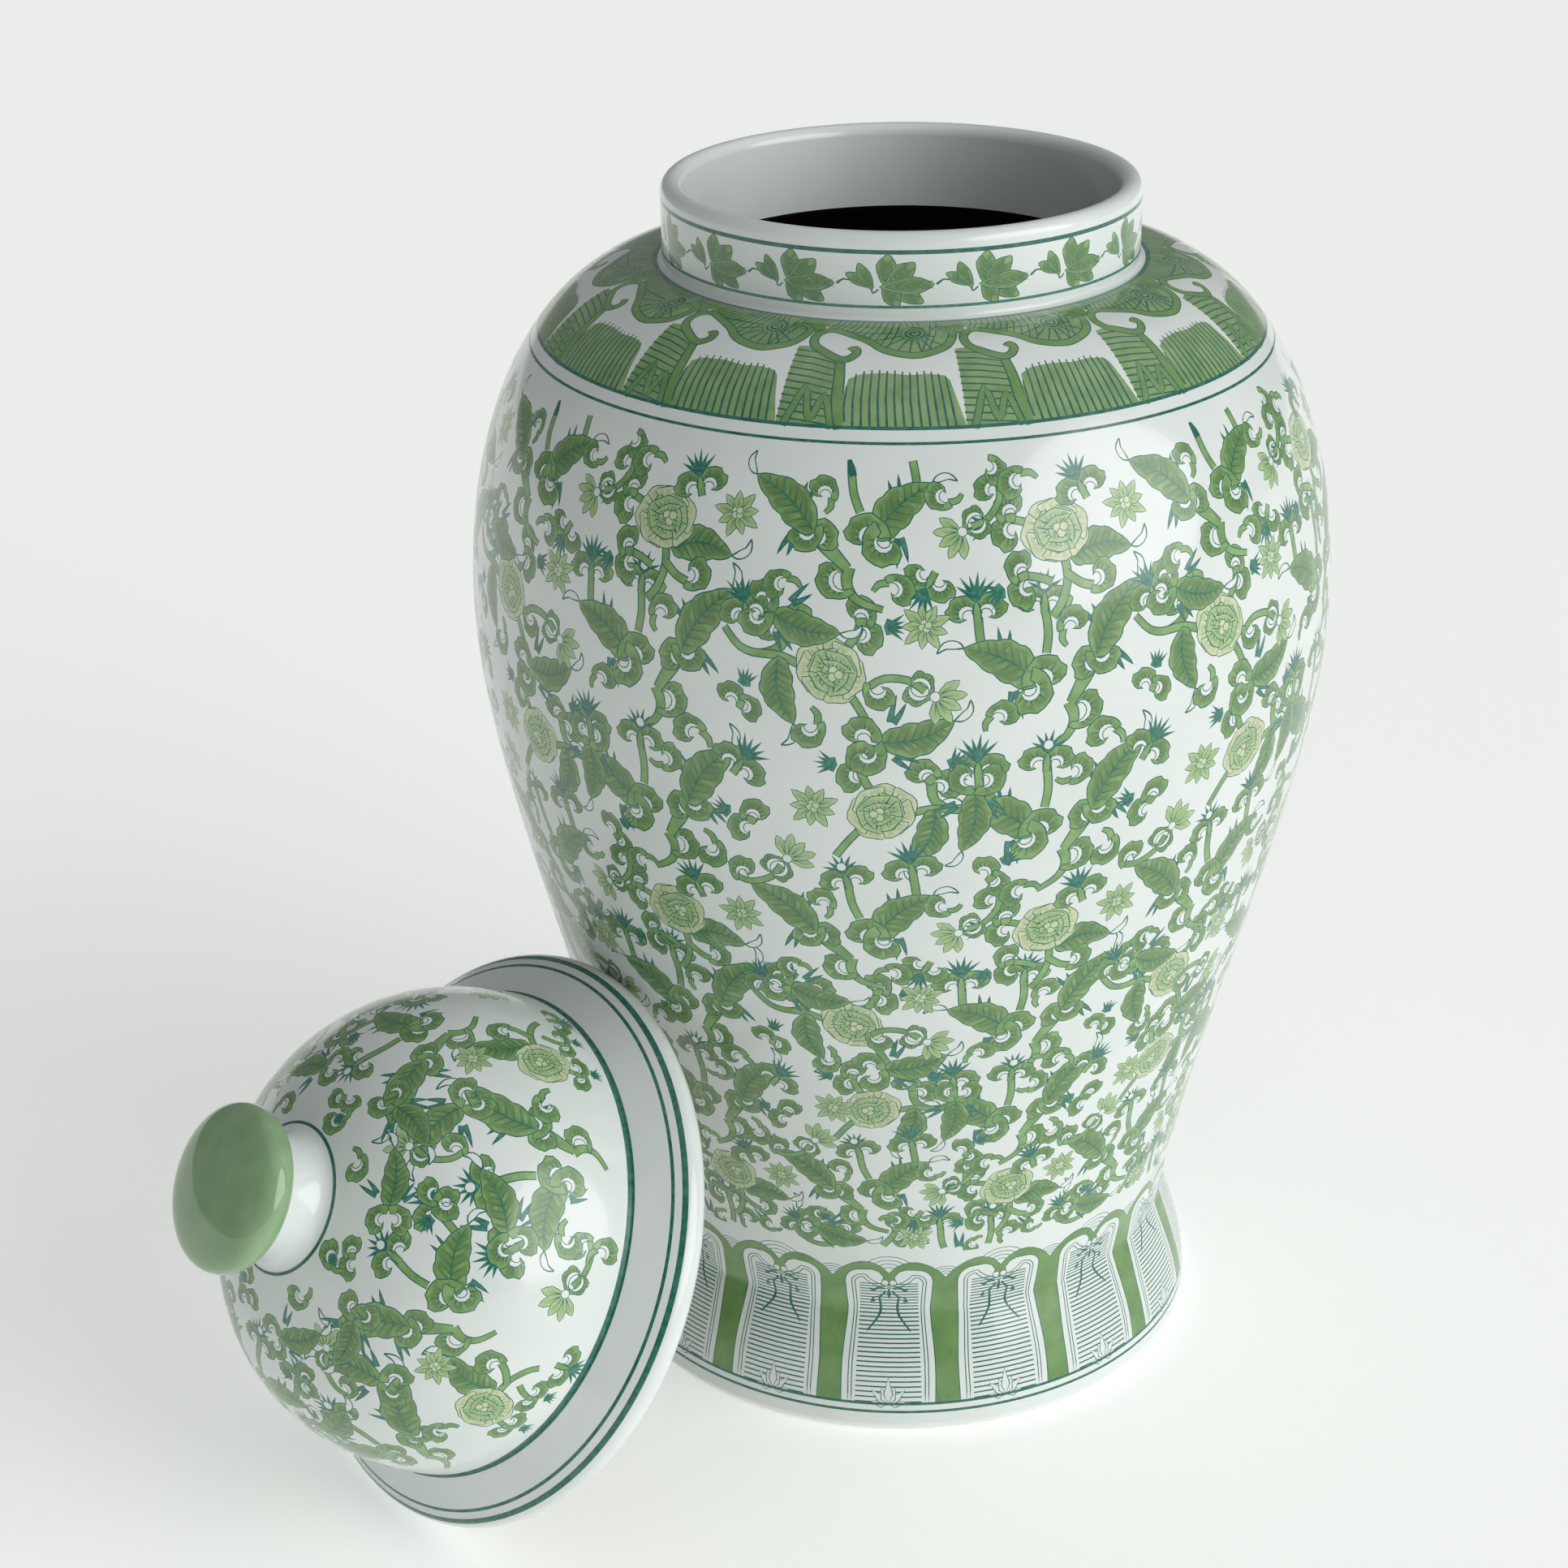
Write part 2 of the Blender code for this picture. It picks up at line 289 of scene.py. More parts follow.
def peony(width=8.6, rings=((7, 1.0), (6, 0.68), (4, 0.38))):
    # rings of ruffled petals, each drawn over the one outside it
    shapes = []
    for row, (count, share) in enumerate(rings):
        for k in range(count):
            a = 2 * pi * k / count + 0.55 * row + 0.14 * sin(2.1 * k + row)
            reach = width * share * (1 + 0.09 * sin(1.7 * k + 2.0 * row))
            wide = 3.9 * width / count * share + 0.7
            petal = []
            for j in range(11):
                b = -1.5 + 3.0 * j / 10
                wave = 1 + 0.045 * cos(4.2 * b)
                petal.append((wide * sin(b) * wave, reach * (0.60 + 0.40 * cos(b)) * wave))
            petal.append((0.0, reach * 0.18))
            shape = outlined(petal, ("cream", "petal", "petal")[row], 0.28)
            for j in (-2, -1, 0, 1, 2):
                start = (j * wide * 0.24, reach * 0.50)
                shape.append((flick(start, (j * wide * 0.34, reach * (0.84 - 0.06 * abs(j))), 0.5), "vein"))
            shapes += place(shape, 0.5 * row, -0.4 * row, a * 180 / pi)
    for k in range(3):
        shapes += place(outlined(ringOf(0, 1.1, 1.15, 7), "cream", 0.26), 1.2, -0.8, 120 * k + 23)
    return shapes


def star(reach=7.8, petals=9):
    # an open flower with pointed petals
    shapes = []
    for k in range(petals):
        long = reach * (1.0 if k % 2 else 0.86)
        half = [(1.2, 0.5), (0.5 * long, 1.55), (long - 1.2, 0.7), (long, 0.0)]
        petal = [(w, r) for r, w in half] + [(-w, r) for r, w in half[-2::-1]]
        rib = (flick((0, 2.2), (0, 0.66 * long), 0.4), "vein")
        shapes += place(outlined(petal, "petal", 0.28) + [rib], 0, 0, 360 * k / petals + 11)
    for k in range(4):
        shapes += place(outlined(ringOf(0, 1.0, 1.0, 7), "cream", 0.24), 0, 0, 90 * k + 20)
    return shapes


# ---- the scroll on the body, one repeat ----

def twin(spikes=True):
    # two volutes turning away from each other, one above the other, with spikes on the upper one
    shapes = place(tuft(5.8, 5, 76), -4.2, 7.6, 34, 0.9) if spikes else []
    shapes += place(volute(212, 2.2, 5.0, 2.2, 3, 0.9), 0.4, 0.2, 16, 1.0, True)
    shapes += place(volute(196, 2.1, 4.9, 1.8, 3, 0.8), -0.4, 3.0, -24, 1.0)
    return shapes


def curl():
    # a single volute on a short stem
    return stem([(0.2, -5.6), (-0.9, -2.8), (0.3, 0.4)], 1.8, (0.5, 1.0)) + volute(205, 2.4, 5.0, 1.9, 3, 0.9)


def fork():
    # two long leaves off a pair of scrolls, with crowns above
    shapes = []
    shapes += stem([(3.6, -3.0), (5.2, -8.0), (3.0, -13.4), (-3.6, -17.6)], 2.3, (1.5, 0.6))
    shapes += place(volute(206, 3.2, 4.9, 1.6, 3, 0.9), 4.4, -9.4, -118, 1.0, True)
    shapes += stem([(-21.6, 13.0), (-23.0, 18.0), (-23.6, 25.0)])
    shapes += stem([(-3.4, 12.6), (-2.6, 19.0), (-3.4, 27.0)])
    shapes += place(blades(9.2), -15.6, 13.0, 2)
    shapes += place(blades(9.4), -13.4, 2.2, 186)
    shapes += place(blades(8.4), 14.0, 19.0, 34)
    shapes += place(blades(7.4), 19.0, 9.6, -142)
    shapes += place(leaf(25.5, 11.2, 2.4), -5.6, 3.6, 60)
    shapes += place(volute(205, 2.5, 5.2, 3.0, 3, 0.9), -7.6, 3.6, 8, 1.08)
    shapes += place(volute(236, 2.3, 5.0, 3.4, 3, 0.8), -8.2, 5.2, -104, 1.08)
    shapes += stem([(12.4, 9.6), (8.4, 3.6), (4.0, -3.4)], 4.0, (1.0, 0.6))
    shapes += place(volute(210, 2.2, 4.9, 2.8, 3, 0.9), 13.8, 9.2, 44, 1.02, True)
    shapes += place(volute(222, 2.1, 4.8, 2.6, 3, 0.8), 11.6, 11.0, 172, 1.0, True)
    shapes += place(leaf(26.5, 11.0, -2.2), 12.0, 9.4, -36)
    shapes += place(crown(), -23.8, 26.0, 4)
    shapes += place(crown(True, 5.6), -3.4, 27.0, -3, 0.95)
    return shapes


def arm():
    # out to the right of a fork: a curled stem, a hanging leaf and a peony
    shapes = []
    shapes += stem([(26.0, 19.5), (31.0, 14.2), (37.5, 12.8), (43.6, 15.6), (45.4, 21.4)], 2.0, (0.8, 1.4))
    shapes += stem([(38.0, 12.8), (44.0, 12.6), (52.0, 9.4)])
    shapes += place(twin(), 45.2, 20.4, 6, 1.0)
    shapes += place(leaf(20.5, 9.4, -2.6), 43.0, 12.4, 192, 1.0, True)
    shapes += stem([(62.0, 15.0), (66.0, 20.4), (67.4, 25.0)])
    shapes += place(twin(), 66.2, 22.4, -58, 0.98, True)
    shapes += stem([(63.0, 4.0), (67.0, -2.0), (70.6, -9.0)], 1.9)
    shapes += place(peony(), 58.4, 9.2, 0, 1.12)
    return shapes


def sprig():
    # one leaf off a double scroll, with blades on both sides
    shapes = place(blades(8.8), -5.0, 8.0, 52) + place(blades(8.2), 5.2, 6.0, -46)
    shapes += place(leaf(22.5, 10.0, 2.2, 4, 0.9), 0, 3.0, 0)
    shapes += place(volute(205, 2.2, 4.9, 2.8, 3, 0.9), -1.0, 1.0, 64, 1.0, True)
    shapes += place(volute(214, 2.3, 5.0, 2.8, 3, 0.8), 1.0, 1.0, -66, 1.0)
    return shapes


def peonyBranch():
    # a peony with a leaf and volutes on its stem
    shapes = []
    shapes += stem([(1.6, -7.0), (2.4, -14.0), (0.2, -21.0), (-3.0, -25.0)])
    shapes += stem([(1.8, -12.6), (6.4, -16.2), (10.4, -17.6)])
    shapes += place(leaf(20.0, 9.6, -3.0), 4.0, -9.0, -86, 1.0)
    shapes += place(volute(205, 2.2, 4.9, 1.8, 3, 0.9), 10.0, -17.8, -110, 1.0, True)
    shapes += stem([(-2.4, -15.0), (-6.0, -13.4), (-10.4, -12.4)], 1.9)
    shapes += place(twin(), -9.6, -13.6, 78, 0.96)
    shapes += stem([(-7.4, 2.6), (-11.6, 4.0), (-14.4, 4.6)], 1.9)
    shapes += place(twin(), -12.6, 3.4, 62, 1.0)
    shapes += place(peony(), 0, 0, 40, 1.14)
    return shapes


def lotusBranch():
    shapes = stem([(1.0, -3.0), (3.0, -9.0), (8.4, -13.8), (13.6, -14.6)], 1.9)
    shapes += place(volute(196, 2.4, 4.8, 1.6, 3, 0.9), 13.0, -15.0, -58, 1.0, True)
    shapes += place(lotus(), 0, 0, 24)
    return shapes


body = {
    "repeats": 7,
    "period": 132.0,      # height after which the scroll comes again
    "lift": 22.0,
    "keepSize": 0.40,     # how far a motif keeps its size where the wall narrows
    "fillStep": 2.5,      # places tried for a curl in the gaps along the band's edges, and the room it needs
    "fillRoom": 4.4,
    # motif, place to the right and up, turn, size, mirrored
    "layout": [
        (fork, 0.0, 98.0, 0, 1.0, False),
        (arm, 0.0, 98.0, 0, 1.0, False),
        (fork, 0.5, 49.0, 0, 1.0, False),
        (arm, 4.0, 46.0, -8, 0.97, True),
        (star, 86.0, 121.0, 0, 1.0, False),
        (sprig, 70.0, 85.0, -74, 1.0, False),
        (lotusBranch, 88.5, 100.0, -142, 0.95, False),
        (peonyBranch, 2.0, 15.0, 0, 1.0, False),
        (star, 27.0, 20.0, 30, 1.0, False),
        (fork, 66.0, 10.0, 14, 0.97, True),
        (sprig, 38.0, -8.0, -104, 0.92, False),
        (lotusBranch, 44.0, 44.0, -18, 0.95, True),
        (crown, 30.0, 74.0, -34, 1.0, False),
        (lotusBranch, 98.0, 17.0, 96, 0.9, False),
        (sprig, 101.0, 72.0, 172, 0.92, True),
        (crown, 33.0, 122.0, 18, 0.95, False),
        (star, 53.0, 64.0, 0, 1.02, False),
        (twin, 34.0, 55.0, 36, 0.96, False),
        (crown, 13.0, 26.0, 20, 1.0, False),
        (twin, 30.0, 94.0, -50, 0.84, False),
        (crown, 88.0, 3.0, 150, 0.9, False),
        (twin, 105.0, 38.0, -76, 0.9, False),
        (curl, 21.0, 46.0, -140, 1.0, False),
        (curl, 19.0, 84.0, 30, 1.0, True),
        (curl, 55.0, 91.0, 200, 0.95, False),
        (curl, 118.0, 34.0, 70, 0.95, True),
        (curl, 75.0, 2.0, -60, 0.9, False),
        (curl, 5.0, 70.0, -100, 0.9, True),
        (curl, 2.0, 117.0, 10, 0.9, False),
        (curl, 94.0, 26.0, 120, 0.85, False),
        (curl, 57.0, 27.0, -20, 0.85, True),
        (curl, 105.0, 93.0, -20, 0.85, False),
        (curl, 45.0, 2.0, 60, 0.85, True),
    ],
}


def keepInside(shapes, floor, ceiling):
    # leaves out the motifs that would be cut by the edge of the band, with the strokes drawn on them
    kept, gone = [], []
    follow = 45           # the strokes drawn on a shape come within this many shapes after it
    for order, (points, ink) in enumerate(shapes):
        xs, ys = [p[0] for p in points], [p[1] for p in points]
        left, right, bottom, top = min(xs), max(xs), min(ys), max(ys)
        if bottom < floor or top > ceiling:
            gone.append((order, left, right, bottom, top))
        elif not any(order - when < follow and left > l - 0.2 and right < r + 0.2
                     and bottom > b - 0.2 and top < t + 0.2 for when, l, r, b, t in gone[-40:]):
            kept.append((points, ink))
    return kept


def bodyShapes(width, height, radiusAt, widest):
    shapes = []
    floor, ceiling = 0.6, height - 0.8
    for turnOf in range(-1, int(height / body["period"]) + 2):
        for motif, x, y, turn, size, flip in body["layout"]:
            y += body["lift"] + body["period"] * turnOf
            if -30 < y < height + 30:
                grow = (widest / radiusAt(y)) ** body["keepSize"]
                shapes += place(motif(), x, y, turn, size * grow, flip)
    shapes = keepInside(shapes, floor, ceiling)
    for edge, turn in ((ceiling - 5.6, 0), (floor + 5.6, 180)):
        taken = np.array([p for points, ink in shapes for p in points if abs(p[1] - edge) < 12])
        taken = np.concatenate([taken, taken + (width, 0), taken - (width, 0)])
        for k in range(int(width / body["fillStep"])):
            x = body["fillStep"] * (k + 0.5)
            if np.hypot(*(taken - (x, edge)).T).min() > body["fillRoom"]:
                filler = place(curl(), x, edge, turn + 70 * (-1) ** k, 0.86, k % 3 == 0)
                shapes += filler
                taken = np.concatenate([taken, [p for points, ink in filler for p in points]])
    return shapes


# ---- the other painted bands ----

foot = {
    "repeats": 16,
    "radius": 95.0,       # of the wall where the panels are drawn to size
    "panel": 29.6,        # width over the outer outline
    "border": 1.9,
    "innerBorder": 1.1,
    "corner": 5.2,
    "lines": 30,
}


def footShapes(width, ground, waist, top):
    # arched panels of fine lines on green, under a scalloped edge with fans of arcs
    middle = width / 2
    half = foot["panel"] / 2
    crest = top - 10.2
    shapes = []

    def scallop(lift, inset=0.0):
        # two bumps to a panel: up from the gap beside it, down to a dip over its middle
        points = []
        for k in range(17):
            x = width * k / 16
            bump = abs(sin(2 * pi * x / width))
            points.append((x, crest + lift + 6.0 * bump ** 0.75 - 1.2 * cos(2 * pi * x / width) - inset))
        return points

    for centre, wide, low in ((middle, 8.6, 0.2), (0.0, 5.6, -2.2), (width, 5.6, -2.2)):
        for k in range(4):
            reach = wide * (1 - 0.22 * k)
            arch = [(centre + reach * cos(radians(a)), crest + low + 0.86 * reach * sin(radians(a)) + 1.2)
                    for a in range(0, 181, 18)]
            shapes.append((swell(arch, 0.28), "teal"))
            shapes.append((arch, "glaze"))
    edge = scallop(0.0)
    shapes.append(([(0, ground)] + scallop(0.34) + [(width, ground)], "teal"))
    shapes.append(([(0, ground)] + edge + [(width, ground)], "moss"))

    def upSide(w, peak, bend, step):
        # one side of a panel, and the rounded corner at its top
        side = curve([(w * 0.985, ground), (w, ground + 0.30 * (peak - ground)), (w * 0.93, waist - 2.0),
                      (w * 0.95, peak - 2.4 * bend)], 3)
        return side + [(w * 0.97 - bend + bend * cos(radians(a)), peak - bend + bend * sin(radians(a)))
                       for a in range(0, 91, step)]

    def panel(shrink, notch):
        # one side of the panel, from its foot up, over the shoulder and round the curl beside the middle
        w = half - shrink
        peak = crest + 2.6 - shrink
        bend = foot["corner"] - 0.5 * shrink
        turnIn = [(notch + 3.6, peak + 0.2), (notch + 1.4, peak - 0.8), (notch, peak - 3.0),
                  (notch + 0.4, peak - 4.6)]
        return upSide(w, peak, bend, 18) + turnIn + [(0.2, peak - 7.0 + 0.6 * shrink)]

    def whole(right):
        return [(middle + x, y) for x, y in right] + [(middle - x, y) for x, y in right[::-1]]

    outer = whole(panel(0.0, 1.9))
    shapes += [(swell(outer, 0.34), "teal"), (outer, "glaze")]
    for step, notch in ((foot["border"], 4.2), (foot["border"] + foot["innerBorder"], 5.0)):
        w = half - step
        peak = crest + 2.6 - step
        bend = foot["corner"] - 0.8 * step
        arch = upSide(w, peak, bend, 22)
        arch += [(notch + 3.4, peak), (notch + 2.2, peak - 1.6), (notch + 0.2, peak - 3.2), (1.6, peak - 4.6),
                 (0.2, peak - 6.4 + 0.5 * step)]
        border = whole(arch)
        shapes += [(border, "teal"), (swell(border, -0.34), "glaze")]
    low, high = ground + 0.6, crest - 3.4
    count = foot["lines"]
    for k in range(count):
        t = k / (count - 1)
        y = low + (high - low) * (t + 0.25 * t * (1 - t))
        reach = half * (0.93 - 0.05 * t) - foot["border"] - foot["innerBorder"] - 0.35
        thick = 0.54 - 0.08 * t
        for a, b in (((-reach, reach),) if y < crest - 8.0 else ((-reach, -1.4), (1.4, reach))):
            shapes.append(([(middle + a, y - thick / 2), (middle + b, y - thick / 2 + 0.1),
                            (middle + b, y + thick / 2 + 0.1), (middle + a, y + thick / 2)], "teal"))
    for side in (-1, 1):
        curlTop = crest - 7.4
        path = [(0.9, curlTop + 1.0), (2.8, curlTop - 1.4), (5.2, curlTop - 2.2), (6.0, curlTop - 4.2),
                (4.6, curlTop - 4.6)]
        drop = [(3.2, curlTop - 2.0), (2.8, curlTop - 6.5), (3.6, curlTop - 9.6), (7.2, curlTop - 14.6)]
        leafy = [(1.2, curlTop + 2.0), (3.4, curlTop + 2.4), (5.4, curlTop + 1.0), (6.4, curlTop + 2.2)]
        for line, widths in ((path, (0.9, 0.6, 0.4)), (drop, (0.8, 0.9, 0.5)), (leafy, (0.3, 1.0, 0.3))):
            line = [(middle + side * x, y) for x, y in line]
            shapes.append((stroke(curve(line, 3), widths), "teal"))
        shapes.append((ringOf(middle + side * 5.3, curlTop - 3.4, 0.7, 7), "teal"))
        shapes += outlined(ringOf(middle + side * 1.3, curlTop + 4.6, 1.1, 8), "glaze", 0.3)
    knot = [(middle, curlTop + 1.8), (middle, curlTop - 0.2), (middle, curlTop - 2.4)]
    shapes.append((stroke(knot, (0.5, 1.5, 0.4)), "teal"))
    for turn, reach in ((78, 5.4), (-78, 5.4), (44, 7.4), (-44, 7.4), (20, 6.4), (-20, 6.4), (0, 9.6)):
        petal = [(0, 0.6), (-1.25, reach * 0.40), (0, reach), (1.25, reach * 0.40)]
        shapes += place(outlined(petal, "glaze", 0.34), middle, ground - 0.4, turn)
    return shapes


shoulder = {
    "repeats": 13,
    "radius": 90.0,       # of the wall where the clouds are drawn to size
    "ribbon": 2.1,
    "hatch": 1.9,         # from one line of the hatching to the next
}


def hatching(lines, width=0.60):
    return [(stroke(line, (width, width * 0.9, width * 0.7)), "teal") for line in lines]


def levelUnder(line, x):
    # the height of a line that runs from right to left, at x
    for (ax, ay), (bx, by) in zip(line[6:], line[7:]):
        if bx <= x <= ax:
            return by + (ay - by) * (x - bx) / max(ax - bx, 1e-6)
    return line[-1][1]


def shoulderShapes(width, height):
    # cloud scrolls over blocks of hatching; drawn for a repeat 43.5 wide and 44 high
    wide, high = width / 43.5, height / 44.0
    cloud = [(36.4, 36.6), (36.9, 38.0), (39.0, 38.2), (41.2, 36.4), (41.4, 33.6), (38.9, 28.6), (34.0, 25.8),
             (29.0, 24.7), (21.6, 26.9), (16.8, 31.0), (11.4, 33.9), (6.0, 36.2), (2.7, 35.3), (0.8, 32.1),
             (1.6, 28.1), (4.9, 25.4), (9.2, 22.8), (11.9, 22.9), (14.0, 25.4), (13.4, 27.4), (11.9, 26.3)]
    cloud = curve(cloud, 3)
    upper = cloud[:36]
    shapes = []
    ground = [(-3.0, 45.0), (4.0, 36.6)] + upper[::-1] + [(42.0, 45.0)]
    shapes.append((ground, "wash"))
    shapes.append(([(36.0, 45), (37.0, 38.4), (39.0, 39.6), (42.2, 37.6), (43.6, 32.8), (45.5, 33.5),
                    (46.5, 45)], "moss"))
    lean = []
    for k in range(17):
        x = 4.0 + k * shoulder["hatch"]
        top = x + 2.0 + 0.10 * k
        end = x - 1.2
        if not 23.5 < x < 31.5:
            low = levelUnder(upper, end)
            lean.append([(top, 44.4), ((top + end) / 2 + 0.9, (44.4 + low) / 2), (end, low)])
    spiralX, spiralY = 30.0, 35.4
    for k in range(9):
        a = radians(200 + 20 * k)
        start = (spiralX + 4.0 * cos(a), spiralY + 4.0 * sin(a))
        end = (spiralX + 12.0 * cos(a), spiralY + 12.0 * sin(a))
        low = levelUnder(upper, end[0])
        if end[1] < low:
            share = (start[1] - low) / max(start[1] - end[1], 0.1)
            end = (start[0] + (end[0] - start[0]) * share, start[1] + (end[1] - start[1]) * share)
        lean.append([start, ((start[0] + end[0]) / 2, (start[1] + end[1]) / 2), end])
    for k in range(4):
        lean.append([(25.6 + 2.0 * k, 44.4), (25.8 + 1.9 * k, 42.4), (26.4 + 1.8 * k, 40.0)])
    shapes += hatching(lean)
    shapes += outlined(ringOf(spiralX, spiralY, 3.9, 18), "wash", 0.34)
    coil = [(spiralX + (0.5 + 3.3 * t) * cos(4.6 * pi * t), spiralY + (0.5 + 3.3 * t) * sin(4.6 * pi * t))
            for t in [k / 26 for k in range(27)]]
    shapes.append((stroke(coil, (0.8, 0.75, 0.7)), "teal"))

    shapes.append(([(-2.6, 0.0), (-2.6, 27.0), (1.4, 27.6), (5.0, 25.0), (9.8, 22.4), (10.4, 12.0),
                    (12.0, 0.0)], "wash"))
    rows = []
    for k in range(11):
        y = 25.2 - 2.35 * k
        rows.append([(-2.8, y + 0.4), (3.0, y - 0.2), (10.2, y - 2.4 + 0.12 * k)])
    shapes += hatching(rows)
    flame = curve([(-1.0, -0.6), (0.6, 5.0), (2.8, 12.6), (4.0, 6.0), (5.0, 1.6), (6.2, 5.0), (7.8, 10.0),
                   (9.2, 5.0), (10.4, -0.6)], 2)
    shapes += [(stroke(flame, (2.0, 2.0)), "teal"), (stroke(flame, (1.4, 1.4)), "moss")]
    stripe = curve([(9.9, 23.0), (10.6, 16.0), (11.0, 8.0), (12.6, -0.6)], 3)
    edge = 2 * brush["outline"]
    shapes += [(stroke(stripe, (2.0 + edge, 2.6 + edge)), "teal"), (stroke(stripe, (2.0, 2.6)), "moss")]
    tops = [12.4, 16.8, 17.8, 18.2, 18.4, 18.0, 18.2, 17.8, 17.4, 17.6, 18.0, 17.6, 16.8, 15.8]
    shapes.append(([(12.8, -0.5), (12.2, 10.0), (13.0, 15.6), (16.0, 17.4), (22.0, 18.0), (28.0, 17.2),
                    (33.0, 17.6), (37.0, 16.8), (38.2, 15.0), (39.4, 8.0), (41.0, -0.5)], "wash"))
    uprights = []
    for k, top in enumerate(tops):
        x = 13.2 + 1.95 * k
        slant = 0.05 * max(k - 6, 0) ** 1.55
        uprights.append([(x, -0.3 + (0.0 if k else 2.0)), (x - 0.5 - 0.2 * slant, top * 0.5),
                         (x - 0.4 - slant, top + 0.7)])
    shapes += hatching(uprights)
    ribbon = shoulder["ribbon"]
    widths = (ribbon * 0.8, ribbon, ribbon, ribbon, ribbon * 0.8)
    shapes += [(stroke(cloud, [w + edge for w in widths]), "teal"), (stroke(cloud, widths), "moss")]
    return [([(x * wide, y * high) for x, y in points], ink) for points, ink in shapes]


collar = {"repeats": 16}


def garlandShapes(width, height):
    # a wavy stem with a five-lobed leaf and a pair of buds; drawn for a repeat 29.5 wide and 17.5 high
    wide, high = width / 29.5, height / 17.5
    shapes = []

    def frond(root, tip, fat, lean=0.0, ribs=4):
        dx, dy = tip[0] - root[0], tip[1] - root[1]
        reach = hypot(dx, dy)
        outline = [(0, 0), (-0.62 * fat, 0.28 * reach), (-fat + lean, 0.62 * reach),
                   (-0.45 * fat + lean, 0.88 * reach), (0, reach), (0.55 * fat + lean, 0.86 * reach),
                   (fat + lean, 0.60 * reach), (0.66 * fat, 0.26 * reach)]
        outline = curve(outline, 2, True)
        made = outlined(outline, "leaf", 0.32)
        for k in range(ribs):
            y = reach * (0.12 + 0.17 * k)
            for side in (-1, 1):
                tip = (side * fat * 0.62 + 0.5 * lean, y + 0.26 * reach)
                made.append((flick((0.1 * side, y), tip, 0.42), "vein"))
        turn = atan2(dy, dx) * 180 / pi - 90
        return place(made, root[0], root[1], turn)

    vine = curve([(18.6, 3.4), (20.6, 5.0), (22.2, 4.8), (24.0, 5.6)], 3)
    shapes.append((stroke(vine, (0.9, 0.5, 0.7)), "teal"))
    shapes.append((stroke(curve([(-0.6, 2.2), (0.0, 0.4), (1.6, 1.8)], 3), (0.5, 0.6, 0.5)), "teal"))
    shapes += frond((-1.2, 2.6), (-8.0, 7.0), 1.7, 0.2, 3)
    shapes += frond((-0.3, 1.6), (-4.2, 10.6), 1.8, -0.2, 3)
    shapes += frond((4.0, 4.2), (14.6, -3.0), 2.7, 0.0)
    shapes += frond((3.0, 3.8), (7.6, -4.0), 2.5, 0.2)
    shapes += frond((3.2, 3.4), (4.4, 13.8), 2.9, 0.0)
    shapes += frond((4.0, 3.6), (12.0, 11.0), 2.9, 0.2)
    shapes += frond((2.0, 2.6), (17.8, 3.4), 3.0, 0.0, 5)
    return [([((x + 9.0) * wide, (y + 4.4) * 0.92 * high) for x, y in points], ink) for points, ink in shapes]


lid = {"repeats": 4}


# ---- cutting the wall along the paint, and wrapping it round ----

def windingInside(outline, x, y):
    p = np.array(outline)
    q = np.roll(p, -1, axis=0)
    px, py, qx, qy = p[:, 0], p[:, 1], q[:, 0], q[:, 1]
    side = (qx - px) * (y[:, None] - py) - (x[:, None] - px) * (qy - py)
    up = (py <= y[:, None]) & (qy > y[:, None]) & (side > 0)
    down = (py > y[:, None]) & (qy <= y[:, None]) & (side < 0)
    return up.sum(axis=1) != down.sum(axis=1)


